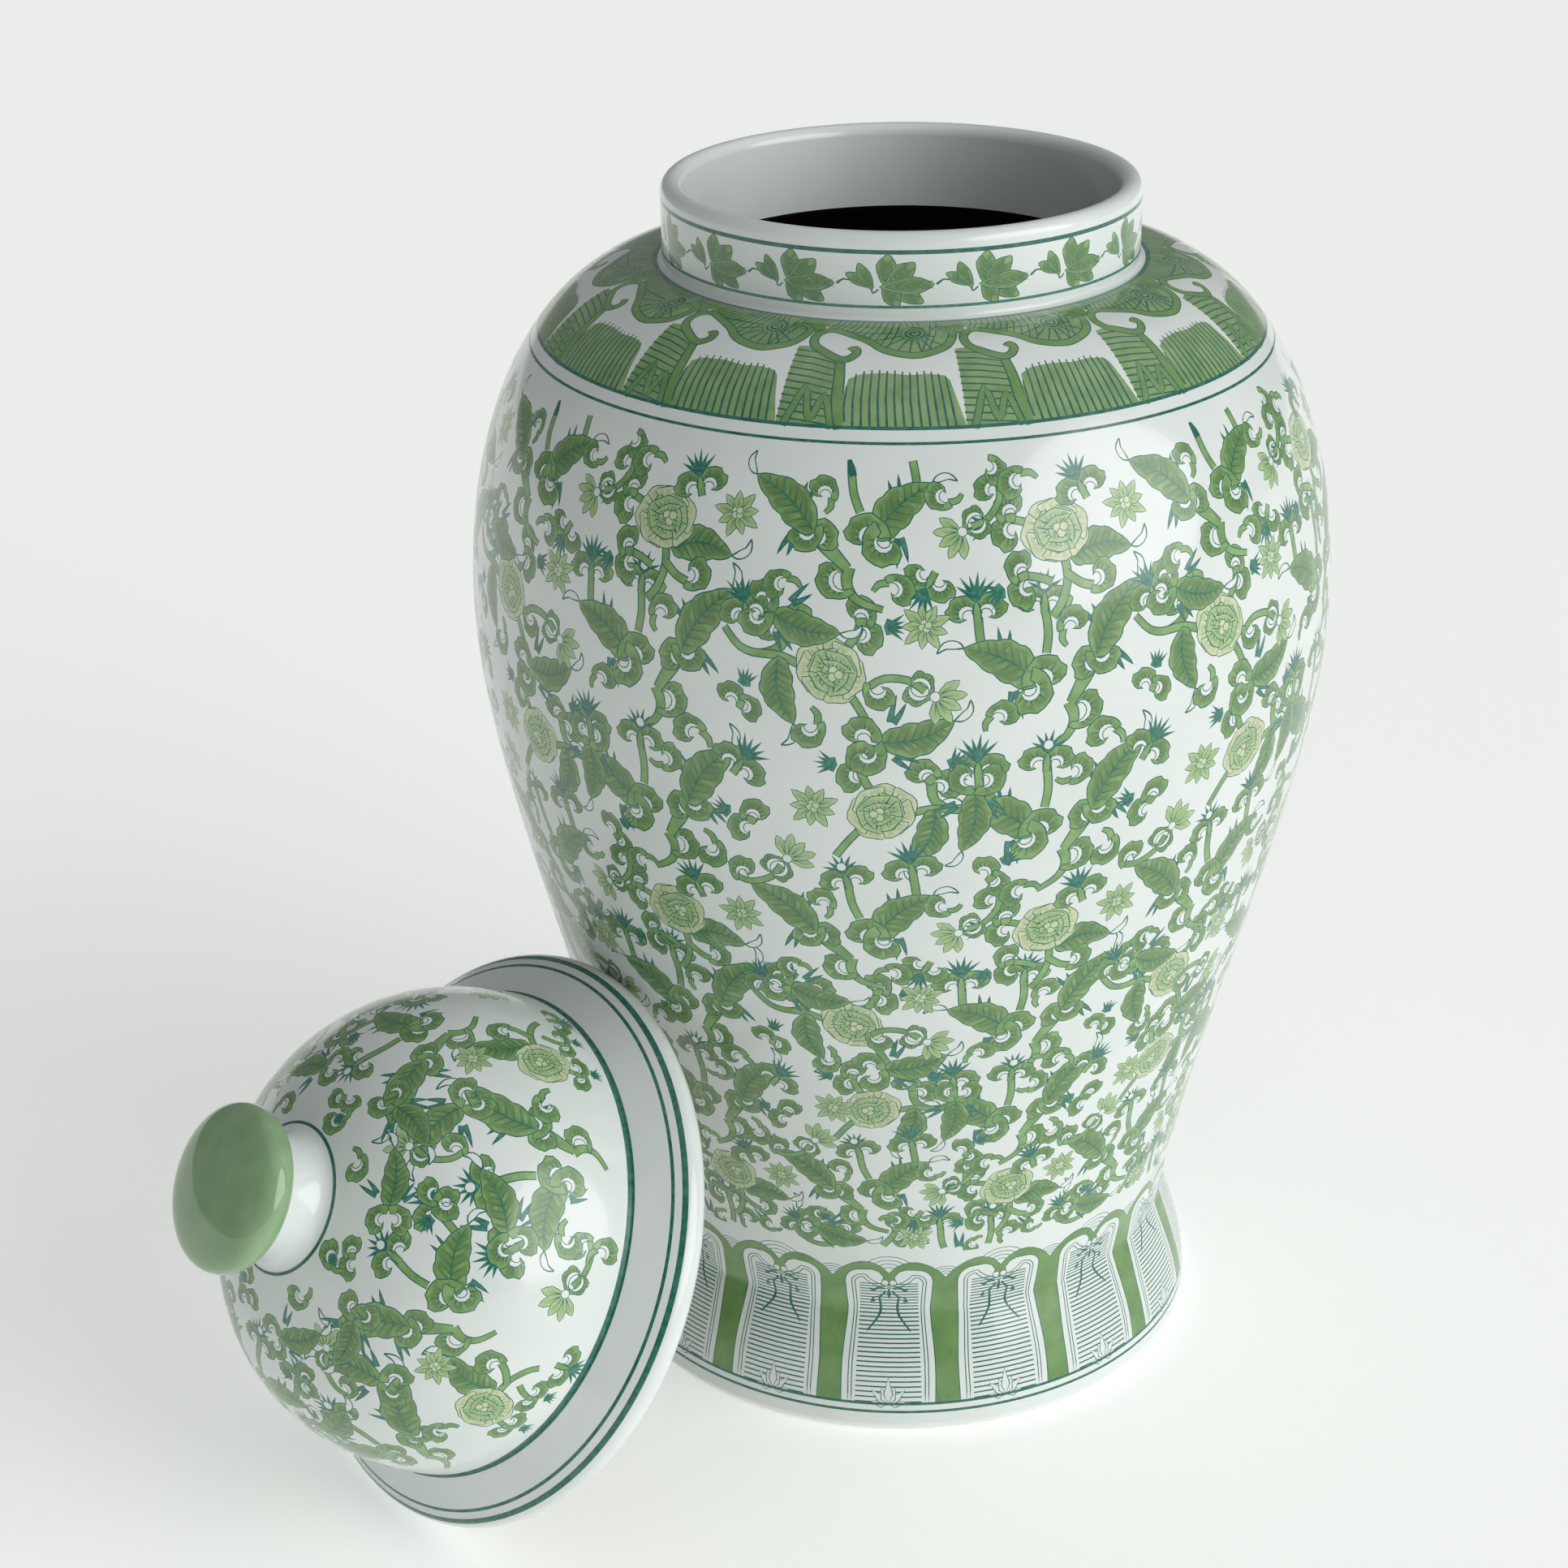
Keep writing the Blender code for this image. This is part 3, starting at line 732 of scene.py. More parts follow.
def cutTile(width, low, high, shapes, levels=(), lowCount=0, highCount=0):
    # one repeat of a band as triangles, each with the ink that covers it; lowCount and highCount are the
    # steps along its two edges, chosen so that the corners of neighbouring bands meet all round the pot
    facet = brush["facet"]
    points, edges = [], []

    def addLine(line, closed=True):
        first = len(points)
        count = len(line)
        for i in range(count if closed else count - 1):
            a, b = line[i], line[(i + 1) % count]
            runs = max(1, int(hypot(b[0] - a[0], b[1] - a[1]) / facet))
            points.extend((a[0] + (b[0] - a[0]) * k / runs, a[1] + (b[1] - a[1]) * k / runs)
                          for k in range(runs))
        if not closed:
            points.append(line[-1])
        last = len(points)
        edges.extend((k, k + 1) for k in range(first, last - 1))
        if closed:
            edges.append((last - 1, first))

    rows = max(2, round((high - low) / facet))
    columns = max(2, round(width / facet))
    lowCount = lowCount or columns
    highCount = highCount or columns
    sides = [low + (high - low) * k / rows for k in range(rows + 1)]
    addLine([(width * k / lowCount, low) for k in range(lowCount)] + [(width, y) for y in sides[:-1]]
            + [(width * k / highCount, high) for k in range(highCount, 0, -1)]
            + [(0.0, y) for y in sides[:0:-1]])
    for mark in levels:
        addLine([(width * k / columns, mark) for k in range(columns + 1)], False)
    latticeStart = len(points)
    points.extend((width * (i + 0.5) / columns, low + (high - low) * (j + 0.5 * (i % 2) + 0.25) / rows)
                  for i in range(columns) for j in range(rows))
    latticeEnd = len(points)
    laid = []
    for outline, ink in shapes:
        xs, ys = [p[0] for p in outline], [p[1] for p in outline]
        if max(ys) < low or min(ys) > high:
            continue
        for shift in (-width, 0.0, width):
            if max(xs) + shift > 0 and min(xs) + shift < width:
                moved = [(x + shift, y) for x, y in outline]
                laid.append((np.array(moved), inks.index(ink)))
                addLine(moved)
    borders = (low, high) + tuple(levels)
    snap = 0.004          # corners this close to a border lie on it

    def cut(points, edges):
        corners, _, faces, _, _, _ = delaunay_2d_cdt([Vector(p) for p in points], edges, [], 0, 1e-3, False)
        corners = np.array([(c.x, c.y) for c in corners])
        faces = np.array([list(f) for f in faces])
        middle = corners[faces].mean(axis=1)
        kept = (middle[:, 0] > 0) & (middle[:, 0] < width) & (middle[:, 1] > low) & (middle[:, 1] < high)
        faces, middle = faces[kept], middle[kept]
        used, faces = np.unique(faces, return_inverse=True)
        ink = np.zeros(len(middle), int)
        for outline, number in laid:
            least, most = outline.min(axis=0), outline.max(axis=0)
            near = np.nonzero((middle[:, 0] > least[0]) & (middle[:, 0] < most[0])
                              & (middle[:, 1] > least[1]) & (middle[:, 1] < most[1]))[0]
            if len(near):
                ink[near[windingInside(outline, middle[near, 0], middle[near, 1])]] = number
        return corners[used], faces.reshape(-1, 3), ink

    # the first cut has every outline in it; the second only the edges between two inks
    corners, faces, ink = cut(points, edges)
    ends = np.sort(np.concatenate([faces[:, (0, 1)], faces[:, (1, 2)], faces[:, (2, 0)]]), axis=1)
    order = np.lexsort((ends[:, 1], ends[:, 0]))
    ends, sides = ends[order], np.tile(ink, 3)[order]
    shared = np.nonzero((ends[1:] == ends[:-1]).all(axis=1))[0]
    alone = np.ones(len(ends), bool)
    alone[shared] = alone[shared + 1] = False
    onLevel = np.zeros(len(ends), bool)
    for mark in levels:
        onLevel |= (np.abs(corners[ends, 1] - mark) < snap).all(axis=1)
    kept = np.concatenate([ends[shared[(sides[shared] != sides[shared + 1]) | onLevel[shared]]], ends[alone]])
    used, kept = np.unique(kept, return_inverse=True)
    lattice = points[latticeStart:latticeEnd]
    corners, faces, ink = cut([tuple(c) for c in corners[used]] + lattice, kept.reshape(-1, 2).tolist())
    corners = corners.round(3)
    corners[np.abs(corners[:, 0]) < snap, 0] = 0.0
    corners[np.abs(corners[:, 0] - width) < snap, 0] = width
    for mark in borders:
        corners[np.abs(corners[:, 1] - mark) < snap, 1] = mark
    tone = np.zeros(len(corners))
    tone[faces[ink == inks.index("vein")].ravel()] = 1.0
    return {"width": width, "corners": corners, "faces": faces, "ink": ink, "tone": tone}


def wallOf(outline):
    # length along an outline that runs up the outside, with its radius, height and outward direction
    p = np.array(outline)
    step = np.hypot(*np.diff(p, axis=0).T)
    along = np.concatenate([[0.0], np.cumsum(step)])
    slope = np.gradient(p, along, axis=0)
    slope /= np.hypot(*slope.T)[:, None]
    return {"along": along, "radius": p[:, 0], "height": p[:, 1], "out": slope[:, 1], "up": -slope[:, 0]}


def onWall(wall, along):
    return [np.interp(along, wall["along"], wall[key]) for key in ("radius", "height", "out", "up")]


def alongAt(wall, height):
    return float(np.interp(height, wall["height"], wall["along"]))


def unrolled(wall, low, high, widest, evenness=1.0):
    # a drawing height for each place on the wall, so that a motif keeps its shape where the wall narrows
    along = np.linspace(low, high, 400)
    radius = onWall(wall, along)[0]
    shrink = (radius / widest) ** evenness
    rise = np.concatenate([[0.0], np.cumsum(np.diff(along) * 0.5 * (1 / shrink[1:] + 1 / shrink[:-1]))])
    return along, rise, radius


def patch(corners, faces, normals, ink, uv, tone):
    return {"corners": corners, "faces": faces, "normals": normals, "ink": ink, "uv": uv, "tone": tone}


def wrapTile(tile, repeats, wall, along, turn, uvAt):
    # copies of the tile side by side round the wall; along is each corner's place up the wall
    radius, height, out, up = onWall(wall, along)
    patches = []
    for k in range(repeats):
        share = (k + tile["corners"][:, 0] / tile["width"]) / repeats
        angle = 2 * pi * share + turn
        c, s = np.cos(angle), np.sin(angle)
        corners = np.stack([radius * c, radius * s, height], axis=1)
        normals = np.stack([out * c, out * s, up], axis=1)
        uv = np.stack([share, uvAt(along)], axis=1)
        patches.append(patch(corners, tile["faces"], normals, tile["ink"], uv, tile["tone"]))
    return patches


def keepBetween(patches, wallHeights, low, high):
    # the faces of wrapped patches whose place up the wall lies between two levels
    kept = []
    for part, along in zip(patches, wallHeights):
        middle = along[part["faces"]].mean(axis=1)
        chosen = (middle > low) & (middle < high)
        kept.append(dict(part, faces=part["faces"][chosen], ink=part["ink"][chosen]))
    return kept


def edgeShares(patches, wallHeights, mark):
    # where the painted wall has corners at one place up the wall, as shares of a turn
    shares = [0.0, 1.0]
    for part, along in zip(patches, wallHeights):
        on = np.abs(along - mark) < 1e-6
        shares.extend(part["uv"][on, 0])
    return np.unique(np.round(shares, 9))


def joinRings(sharesA, placeA, sharesB, placeB, normal, turn, uvSpan, ink=0):
    # a strip between two rings whose corners don't face each other
    corners, uv = [], []
    for shares, (radius, height), v in ((sharesA, placeA, uvSpan[0]), (sharesB, placeB, uvSpan[1])):
        for share in shares:
            angle = 2 * pi * share + turn
            corners.append((radius * cos(angle), radius * sin(angle), height))
            uv.append((share, v))
    faces = []
    i = j = 0
    countA, countB = len(sharesA), len(sharesB)
    while i < countA - 1 or j < countB - 1:
        if j == countB - 1 or (i < countA - 1 and sharesA[i + 1] <= sharesB[j + 1]):
            faces.append((i, i + 1, countA + j))
            i += 1
        else:
            faces.append((i, countA + j + 1, countA + j))
            j += 1
    towards = (placeB[1] - placeA[1]) * normal[0] - (placeB[0] - placeA[0]) * normal[1]
    if towards < 0:
        faces = [face[::-1] for face in faces]
    angles = np.array([2 * pi * share + turn for share in list(sharesA) + list(sharesB)])
    up = np.full(len(angles), normal[1])
    normals = np.stack([normal[0] * np.cos(angles), normal[0] * np.sin(angles), up], axis=1)
    return patch(np.array(corners), np.array(faces), normals, np.full(len(faces), ink), np.array(uv),
                 np.zeros(len(uv)))


def turnedPatch(outline, shares, turn, uvSpan, ink=0, colours=None):
    # a smooth surface of revolution; the outline runs with its outside on the right
    wall = wallOf(outline)
    count = len(outline)
    rows = len(shares)
    angle = 2 * pi * shares + turn
    c, s = np.cos(angle)[:, None], np.sin(angle)[:, None]

    def spread(values):
        return np.broadcast_to(values, (rows, count))

    corners = np.stack([wall["radius"] * c, wall["radius"] * s, spread(wall["height"])], axis=2)
    normals = np.stack([wall["out"] * c, wall["out"] * s, spread(wall["up"])], axis=2)
    v = uvSpan[0] + (uvSpan[1] - uvSpan[0]) * wall["along"] / wall["along"][-1]
    uv = np.stack([spread(shares[:, None]), spread(v)], axis=2)
    faces, numbers = [], []
    for i in range(rows - 1):
        for j in range(count - 1):
            first, beside = i * count + j, (i + 1) * count + j
            number = colours[j] if colours else ink
            if outline[j][0] > 1e-6:
                faces.append((first, beside, beside + 1))
                numbers.append(number)
            if outline[j + 1][0] > 1e-6:
                faces.append((first, beside + 1, first + 1))
                numbers.append(number)
    size = rows * count
    return patch(corners.reshape(size, 3), np.array(faces), normals.reshape(size, 3), np.array(numbers),
                 uv.reshape(size, 2), np.zeros(size))


def creases(mesh, faces, direction):
    # the edges whose two faces have different normals at either end
    corner = faces.ravel()
    following = np.roll(faces, -1, axis=1).ravel()
    own = np.arange(corner.size)
    after = np.roll(own.reshape(-1, 3), -1, axis=1).ravel()
    flipped = corner > following
    atLow, atHigh = np.where(flipped, after, own), np.where(flipped, own, after)
    key = np.minimum(corner, following) * (corner.max() + 1) + np.maximum(corner, following)
    order = np.argsort(key, kind="stable")
    paired = key[order][1:] == key[order][:-1]
    one, other = order[:-1][paired], order[1:][paired]
    alike = np.minimum((direction[atLow[one]] * direction[atLow[other]]).sum(axis=1),
                       (direction[atHigh[one]] * direction[atHigh[other]]).sum(axis=1))
    sharp = np.unique(key[one[alike < 0.999]])
    ends = np.empty(len(mesh.edges) * 2, int)
    mesh.edges.foreach_get("vertices", ends)
    ends = np.sort(ends.reshape(-1, 2), axis=1)
    return np.isin(ends[:, 0] * (corner.max() + 1) + ends[:, 1], sharp)


def buildPiece(name, patches, finishes, matrix):
    # one closed mesh out of its patches, which keep their own normals where they meet
    offset = 0
    corners, faces, normals, ink, uv, tone = [], [], [], [], [], []
    for part in patches:
        corners.append(part["corners"])
        faces.append(part["faces"] + offset)
        normals.append(part["normals"])
        ink.append(part["ink"])
        uv.append(part["uv"])
        tone.append(part["tone"])
        offset += len(part["corners"])
    corners, faces, normals = np.concatenate(corners), np.concatenate(faces), np.concatenate(normals)
    ink, uv, tone = np.concatenate(ink), np.concatenate(uv), np.concatenate(tone)
    keys = np.round(corners * 5000).astype(np.int64)
    _, first, joined = np.unique(keys, axis=0, return_index=True, return_inverse=True)
    joined = joined.reshape(-1)
    loops = faces
    faces = joined[loops]
    sound = (faces[:, 0] != faces[:, 1]) & (faces[:, 1] != faces[:, 2]) & (faces[:, 2] != faces[:, 0])
    faces, loops, ink = faces[sound], loops[sound], ink[sound]
    used, faces = np.unique(faces, return_inverse=True)
    faces = faces.reshape(-1, 3)
    corners = corners[first[used]]
    depth = np.zeros(len(used))
    np.maximum.at(depth, faces.ravel(), tone[loops.ravel()])

    mesh = bpy.data.meshes.new(name)
    mesh.vertices.add(len(corners))
    mesh.vertices.foreach_set("co", (corners * milli).ravel())
    mesh.loops.add(faces.size)
    mesh.loops.foreach_set("vertex_index", faces.ravel())
    mesh.polygons.add(len(faces))
    mesh.polygons.foreach_set("loop_start", np.arange(0, faces.size, 3))
    mesh.polygons.foreach_set("loop_total", np.full(len(faces), 3))
    numbers = sorted(set(ink.tolist()))
    mesh.polygons.foreach_set("material_index", np.searchsorted(numbers, ink))
    mesh.update(calc_edges=True)
    for number in numbers:
        mesh.materials.append(finishes[inks[number]])
    mesh.uv_layers.new(name="OFBake").data.foreach_set("uv", uv[loops.ravel()].ravel())
    mesh.attributes.new("tone", "FLOAT", "POINT").data.foreach_set("value", depth)
    mesh.shade_smooth()
    direction = normals[loops.ravel()]
    direction /= np.linalg.norm(direction, axis=1)[:, None]
    sharp = creases(mesh, faces, direction)
    mesh.attributes.new("sharp_edge", "BOOLEAN", "EDGE").data.foreach_set("value", sharp)
    mesh.normals_split_custom_set(direction.tolist())
    piece = bpy.data.objects.new(name, mesh)
    piece.matrix_world = matrix
    bpy.context.scene.collection.objects.link(piece)
    print(name, "faces:", len(faces))
    return piece


# ---- glazes and clay ----

def linear(*channels):
    # a colour as a screen gives it, 0 to 255, as the shader wants it
    shares = [v / 255 for v in channels]
    return tuple(v / 12.92 if v <= 0.04045 else ((v + 0.055) / 1.055) ** 2.4 for v in shares) + (1.0,)


finishSettings = {
    # ink: colour, deeper colour, how far the brush's tone pulls it deeper, grain of the wash in 1/m
    "glaze": (linear(226, 232, 229), linear(219, 226, 223), 0.0, 26),
    "teal": (linear(22, 92, 78), linear(52, 118, 104), 0.0, 420),
    "spike": (linear(74, 140, 124), linear(40, 108, 94), 0.0, 600),
    "leaf": (linear(136, 172, 110), linear(110, 148, 88), 0.62, 190),
    "vein": (linear(44, 108, 80), linear(70, 126, 84), 0.0, 500),
    "petal": (linear(178, 202, 150), linear(160, 190, 132), 0.45, 260),
    "cream": (linear(206, 214, 178), linear(188, 204, 158), 0.42, 260),
    "moss": (linear(116, 154, 92), linear(96, 136, 76), 0.0, 120),
    "wash": (linear(140, 168, 116), linear(118, 150, 96), 0.0, 150),
}


def glazed(name, colour, deeper, pull, grain, roughness=0.2):
    # paint under a clear glaze: a wash that pools unevenly, deeper round the veins
    material = bpy.data.materials.new(name)
    material.use_nodes = True
    nodes, links = material.node_tree.nodes, material.node_tree.links
    shader = nodes["Principled BSDF"]
    shader.inputs["Roughness"].default_value = roughness
    shader.inputs["IOR"].default_value = 1.5
    shader.inputs["Coat Weight"].default_value = 0.35
    shader.inputs["Coat Roughness"].default_value = 0.03
    spot = nodes.new("ShaderNodeTexCoord")
    pool = nodes.new("ShaderNodeTexNoise")
    pool.inputs["Scale"].default_value = grain
    pool.inputs["Detail"].default_value = 3.0
    links.new(spot.outputs["Object"], pool.inputs["Vector"])
    spread = nodes.new("ShaderNodeMapRange")
    spread.inputs["From Min"].default_value = 0.35
    spread.inputs["From Max"].default_value = 0.68
    links.new(pool.outputs["Fac"], spread.inputs["Value"])
    wash = nodes.new("ShaderNodeMix")
    wash.data_type = "RGBA"
    wash.inputs[6].default_value = colour
    wash.inputs[7].default_value = deeper
    links.new(spread.outputs["Result"], wash.inputs["Factor"])
    result = wash.outputs[2]
    if pull:
        tone = nodes.new("ShaderNodeAttribute")
        tone.attribute_name = "tone"
        amount = nodes.new("ShaderNodeMath")
        amount.operation = "MULTIPLY"
        amount.inputs[1].default_value = pull
        links.new(tone.outputs["Fac"], amount.inputs[0])
        shaded = nodes.new("ShaderNodeMix")
        shaded.data_type = "RGBA"
        links.new(amount.outputs["Value"], shaded.inputs["Factor"])
        links.new(result, shaded.inputs[6])
        shaded.inputs[7].default_value = tuple(0.55 * v for v in deeper[:3]) + (1.0,)
        result = shaded.outputs[2]
    links.new(result, shader.inputs["Base Color"])
    ripple = nodes.new("ShaderNodeTexNoise")
    ripple.inputs["Scale"].default_value = 38
    ripple.inputs["Detail"].default_value = 1.0
    links.new(spot.outputs["Object"], ripple.inputs["Vector"])
    bump = nodes.new("ShaderNodeBump")
    bump.inputs["Strength"].default_value = 0.10
    bump.inputs["Distance"].default_value = 0.0012
    links.new(ripple.outputs["Fac"], bump.inputs["Height"])
    links.new(bump.outputs["Normal"], shader.inputs["Normal"])
    return material


finishes = {ink: glazed("painted_" + ink, *finishSettings[ink]) for ink in inks}
finishes["clay"] = glazed("bare_clay", linear(205, 196, 178), linear(176, 162, 140), 0.0, 320, 0.75)
finishes["celadon"] = glazed("celadon_glaze", linear(142, 174, 132), linear(130, 164, 120), 0.0, 90, 0.07)
# the inner walls below the throat are painted dark brown-grey: painted shade for the deep, unlit inside of
# the jar
finishes["inside"] = glazed("inside_painted_shade", linear(92, 84, 74), linear(74, 66, 57), 0.0, 40, 0.5)
inks += ["clay", "celadon", "inside"]
clay, inside = inks.index("clay"), inks.index("inside")
print("glazes mixed")


# ---- the jar ----

def boxOf(node):
    low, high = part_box(node)
    return Vector(low) / milli, Vector(high) / milli


def arc(centre, radius, start, end, count):
    return [(centre[0] + radius * cos(radians(start + (end - start) * k / count)),
             centre[1] + radius * sin(radians(start + (end - start) * k / count))) for k in range(count + 1)]


def bezier(p0, p1, p2, p3, count):
    points = []
    for k in range(count + 1):
        t = k / count
        weights = ((1 - t) ** 3, 3 * t * (1 - t) ** 2, 3 * t * t * (1 - t), t ** 3)
        points.append(tuple(sum(w * p[i] for w, p in zip(weights, (p0, p1, p2, p3))) for i in (0, 1)))
    return points


def quarter(inner, base, width, height, fullness, count, last=90.0):
    points = []
    for k in range(count + 1):
        angle = radians(last * k / count)
        points.append((inner + width * max(cos(angle), 0.0) ** (2 / fullness),
                       base + height * sin(angle) ** (2 / fullness)))
    return points


def inset(points, wall):
    moved = []
    for k, point in enumerate(points):
        before, after = points[max(k - 1, 0)], points[min(k + 1, len(points) - 1)]
        run = Vector((after[0] - before[0], after[1] - before[1])).normalized()
        moved.append((point[0] - run.y * wall, point[1] + run.x * wall))
    return moved


jar = {
    "waistRadius": 93.0,
    "footRounding": 4.5,
    "fillet": 1.5,
    "fullness": 2.1,
    "wall": 6.5,
    "collarWall": 6.8,
    "floor": 8.0,
    "recess": 10.0,
    "footRing": 9.5,
    "floorCorner": 14.0,
    "turn": radians(-8),      # where the pattern's repeats start
    "rings": 144,
    # heights up the jar of the painted lines and of the edges between the bands
    "thinLine": 8.3,
    "panelLine": 11.3,
    "footBandTop": 67.0,
    "bodyBandTop": 348.3,
    "lowerLine": 350.6,
    "upperLine": 354.2,
    "collarLowLine": 378.3,
    "collarHighLine": 394.6,
}

collarLow, collarHigh = boxOf("collar")
jarAxis = ((collarLow.x + collarHigh.x) / 2, (collarLow.y + collarHigh.y) / 2, 0)
jarPlace = Matrix.Translation(Vector(jarAxis) * milli)
jarHeight = collarHigh.z
shoulderLevel = boxOf("upper_body")[1].z
waistLevel = (boxOf("jar_base")[1].z + boxOf("lower_body")[0].z) / 2
bellyLevel = (boxOf("lower_body")[1].z + boxOf("upper_body")[0].z) / 2
footRadius = (boxOf("jar_base")[1].x - boxOf("jar_base")[0].x) / 2
bellyRadius = (boxOf("lower_body")[1].x - boxOf("lower_body")[0].x) / 2
shoulderRadius = (collarHigh.x - collarLow.x) / 2
collarRadius = shoulderRadius - jar["fillet"]
mouthRadius = collarRadius - jar["collarWall"]

rise = bellyLevel - waistLevel
flare = bezier((footRadius, jar["footRounding"]), (footRadius, waistLevel * 0.40),
               (jar["waistRadius"] + 6, waistLevel * 0.58), (jar["waistRadius"], waistLevel), 60)
nearWaist = (jar["waistRadius"] + 0.052 * rise, waistLevel + 0.34 * rise)
lowerWall = bezier((jar["waistRadius"], waistLevel), nearWaist, (bellyRadius, bellyLevel - 0.26 * rise),
                   (bellyRadius, bellyLevel), 160)
upperWall = quarter(shoulderRadius, bellyLevel, bellyRadius - shoulderRadius, shoulderLevel - bellyLevel,
                    jar["fullness"], 160)
wall = wallOf(flare + lowerWall[1:] + upperWall[1:])
wallEnd = wall["along"][-1]
waist, belly = alongAt(wall, waistLevel), alongAt(wall, bellyLevel)
shares = np.linspace(0, 1, jar["rings"] + 1)


def level(height):
    return alongAt(wall, height)


def ringLine(width, y, thick):
    return ([(0, y - thick / 2), (width, y - thick / 2), (width, y + thick / 2), (0, y + thick / 2)], "teal")


def outerUv(along):
    return 0.02 + 0.72 * along / wallEnd


footTop, bodyTop = level(jar["footBandTop"]), level(jar["bodyBandTop"])
painted, heights = [], []


def paintBand(tile, repeats, along, turn):
    wrapped = wrapTile(tile, repeats, wall, along, turn, outerUv)
    painted.extend(wrapped)
    heights.extend([along] * len(wrapped))


# the foot's panels, the body's scroll and the shoulder's clouds, one above the other
footWidth = 2 * pi * foot["radius"] / foot["repeats"]
ground = level(jar["panelLine"])
shapes = footShapes(footWidth, ground, waist, footTop)
shapes += [ringLine(footWidth, ground, 1.0), ringLine(footWidth, level(jar["thinLine"]), 1.0)]
tile = cutTile(footWidth, 0.0, footTop, shapes, (waist,), lowCount=8, highCount=7)
paintBand(tile, foot["repeats"], tile["corners"][:, 1], jar["turn"])
print("foot cut, faces in a repeat:", len(tile["faces"]))

bodyWidth = 2 * pi * bellyRadius / body["repeats"]
alongTable, riseTable, radiusTable = unrolled(wall, footTop, bodyTop, bellyRadius)


def radiusAt(y):
    return float(np.interp(y, riseTable, radiusTable))


shapes = bodyShapes(bodyWidth, riseTable[-1], radiusAt, bellyRadius)
bellyRise = float(np.interp(belly, alongTable, riseTable))
tile = cutTile(bodyWidth, 0.0, float(riseTable[-1]), shapes, (bellyRise,), lowCount=16, highCount=26)
along = np.interp(tile["corners"][:, 1], riseTable, alongTable)
for mark in (footTop, belly, bodyTop):
    along[np.abs(along - mark) < 1e-3] = mark
paintBand(tile, body["repeats"], along, jar["turn"])
print("body cut, faces in a repeat:", len(tile["faces"]))

shoulderWidth = 2 * pi * shoulder["radius"] / shoulder["repeats"]
cloudLow, cloudHigh = level(jar["upperLine"]), wallEnd - 0.8
shapes = [([(x, y + cloudLow) for x, y in points], ink)
          for points, ink in shoulderShapes(shoulderWidth, cloudHigh - cloudLow)]
edgeLow, edgeHigh = wallEnd - 1.5, wallEnd + 5
shapes += [([(0, edgeLow), (shoulderWidth, edgeLow), (shoulderWidth, edgeHigh), (0, edgeHigh)], "teal"),
           ringLine(shoulderWidth, cloudLow, 1.1), ringLine(shoulderWidth, level(jar["lowerLine"]), 0.9)]
tile = cutTile(shoulderWidth, bodyTop, wallEnd, shapes, lowCount=14, highCount=10)
paintBand(tile, shoulder["repeats"], tile["corners"][:, 1], jar["turn"])
print("shoulder cut, faces in a repeat:", len(tile["faces"]))

turn = jar["turn"]
thick = jar["wall"]


def jarSurface(outline, uvSpan, ink=0):
    return turnedPatch(outline, shares, turn, uvSpan, ink)


def ringsAt(mark):
    return edgeShares(painted, heights, mark)


# the base: a shallow recess inside the foot ring, bare clay where it stands
innerWaist = jar["waistRadius"] - thick
floorLevel = jar["recess"] + jar["floor"]
corner = innerWaist - 0.6 * jar["floorCorner"]
rounding = arc((footRadius - jar["footRounding"], jar["footRounding"]), jar["footRounding"], -90, 0, 10)
ringInside = footRadius - jar["footRounding"] - jar["footRing"]
waistOut, waistIn = (jar["waistRadius"], waistLevel), (innerWaist, waistLevel)
bellyOut, bellyIn = (bellyRadius, bellyLevel), (bellyRadius - thick, bellyLevel)
hollow = bezier(waistIn, (innerWaist, floorLevel + 0.5 * jar["floorCorner"]), (corner, floorLevel),
                (corner - jar["floorCorner"], floorLevel), 14)
basePatches = keepBetween(painted, heights, 0.0, waist)
footEdge = ringsAt(0.0)
basePatches += [
    joinRings(shares, rounding[-2], footEdge, rounding[-1], (1, 0), turn, (0.008, 0.02)),
    jarSurface(rounding[3:-1], (0.004, 0.008)),
    jarSurface(rounding[:4], (0.76, 0.762), clay),
    jarSurface([(ringInside + 1.2, 0.0), rounding[0]], (0.762, 0.775), clay),
    jarSurface(arc((ringInside + 1.2, 1.2), 1.2, 180, 270, 4), (0.775, 0.777), clay),
    jarSurface([(ringInside - 3, jar["recess"]), (ringInside - 1, jar["recess"] - 2), (ringInside, 1.2)],
               (0.777, 0.79)),
    jarSurface([(0.0, jar["recess"]), (ringInside - 3, jar["recess"])], (0.79, 0.82)),
    # the floor inside the jar, in the painted shade of the inside
    jarSurface(hollow + [(0.0, floorLevel)], (0.82, 0.88), inside),
    joinRings(shares, waistIn, ringsAt(waist), waistOut, (0, 1), turn, (0.88, 0.885)),
]

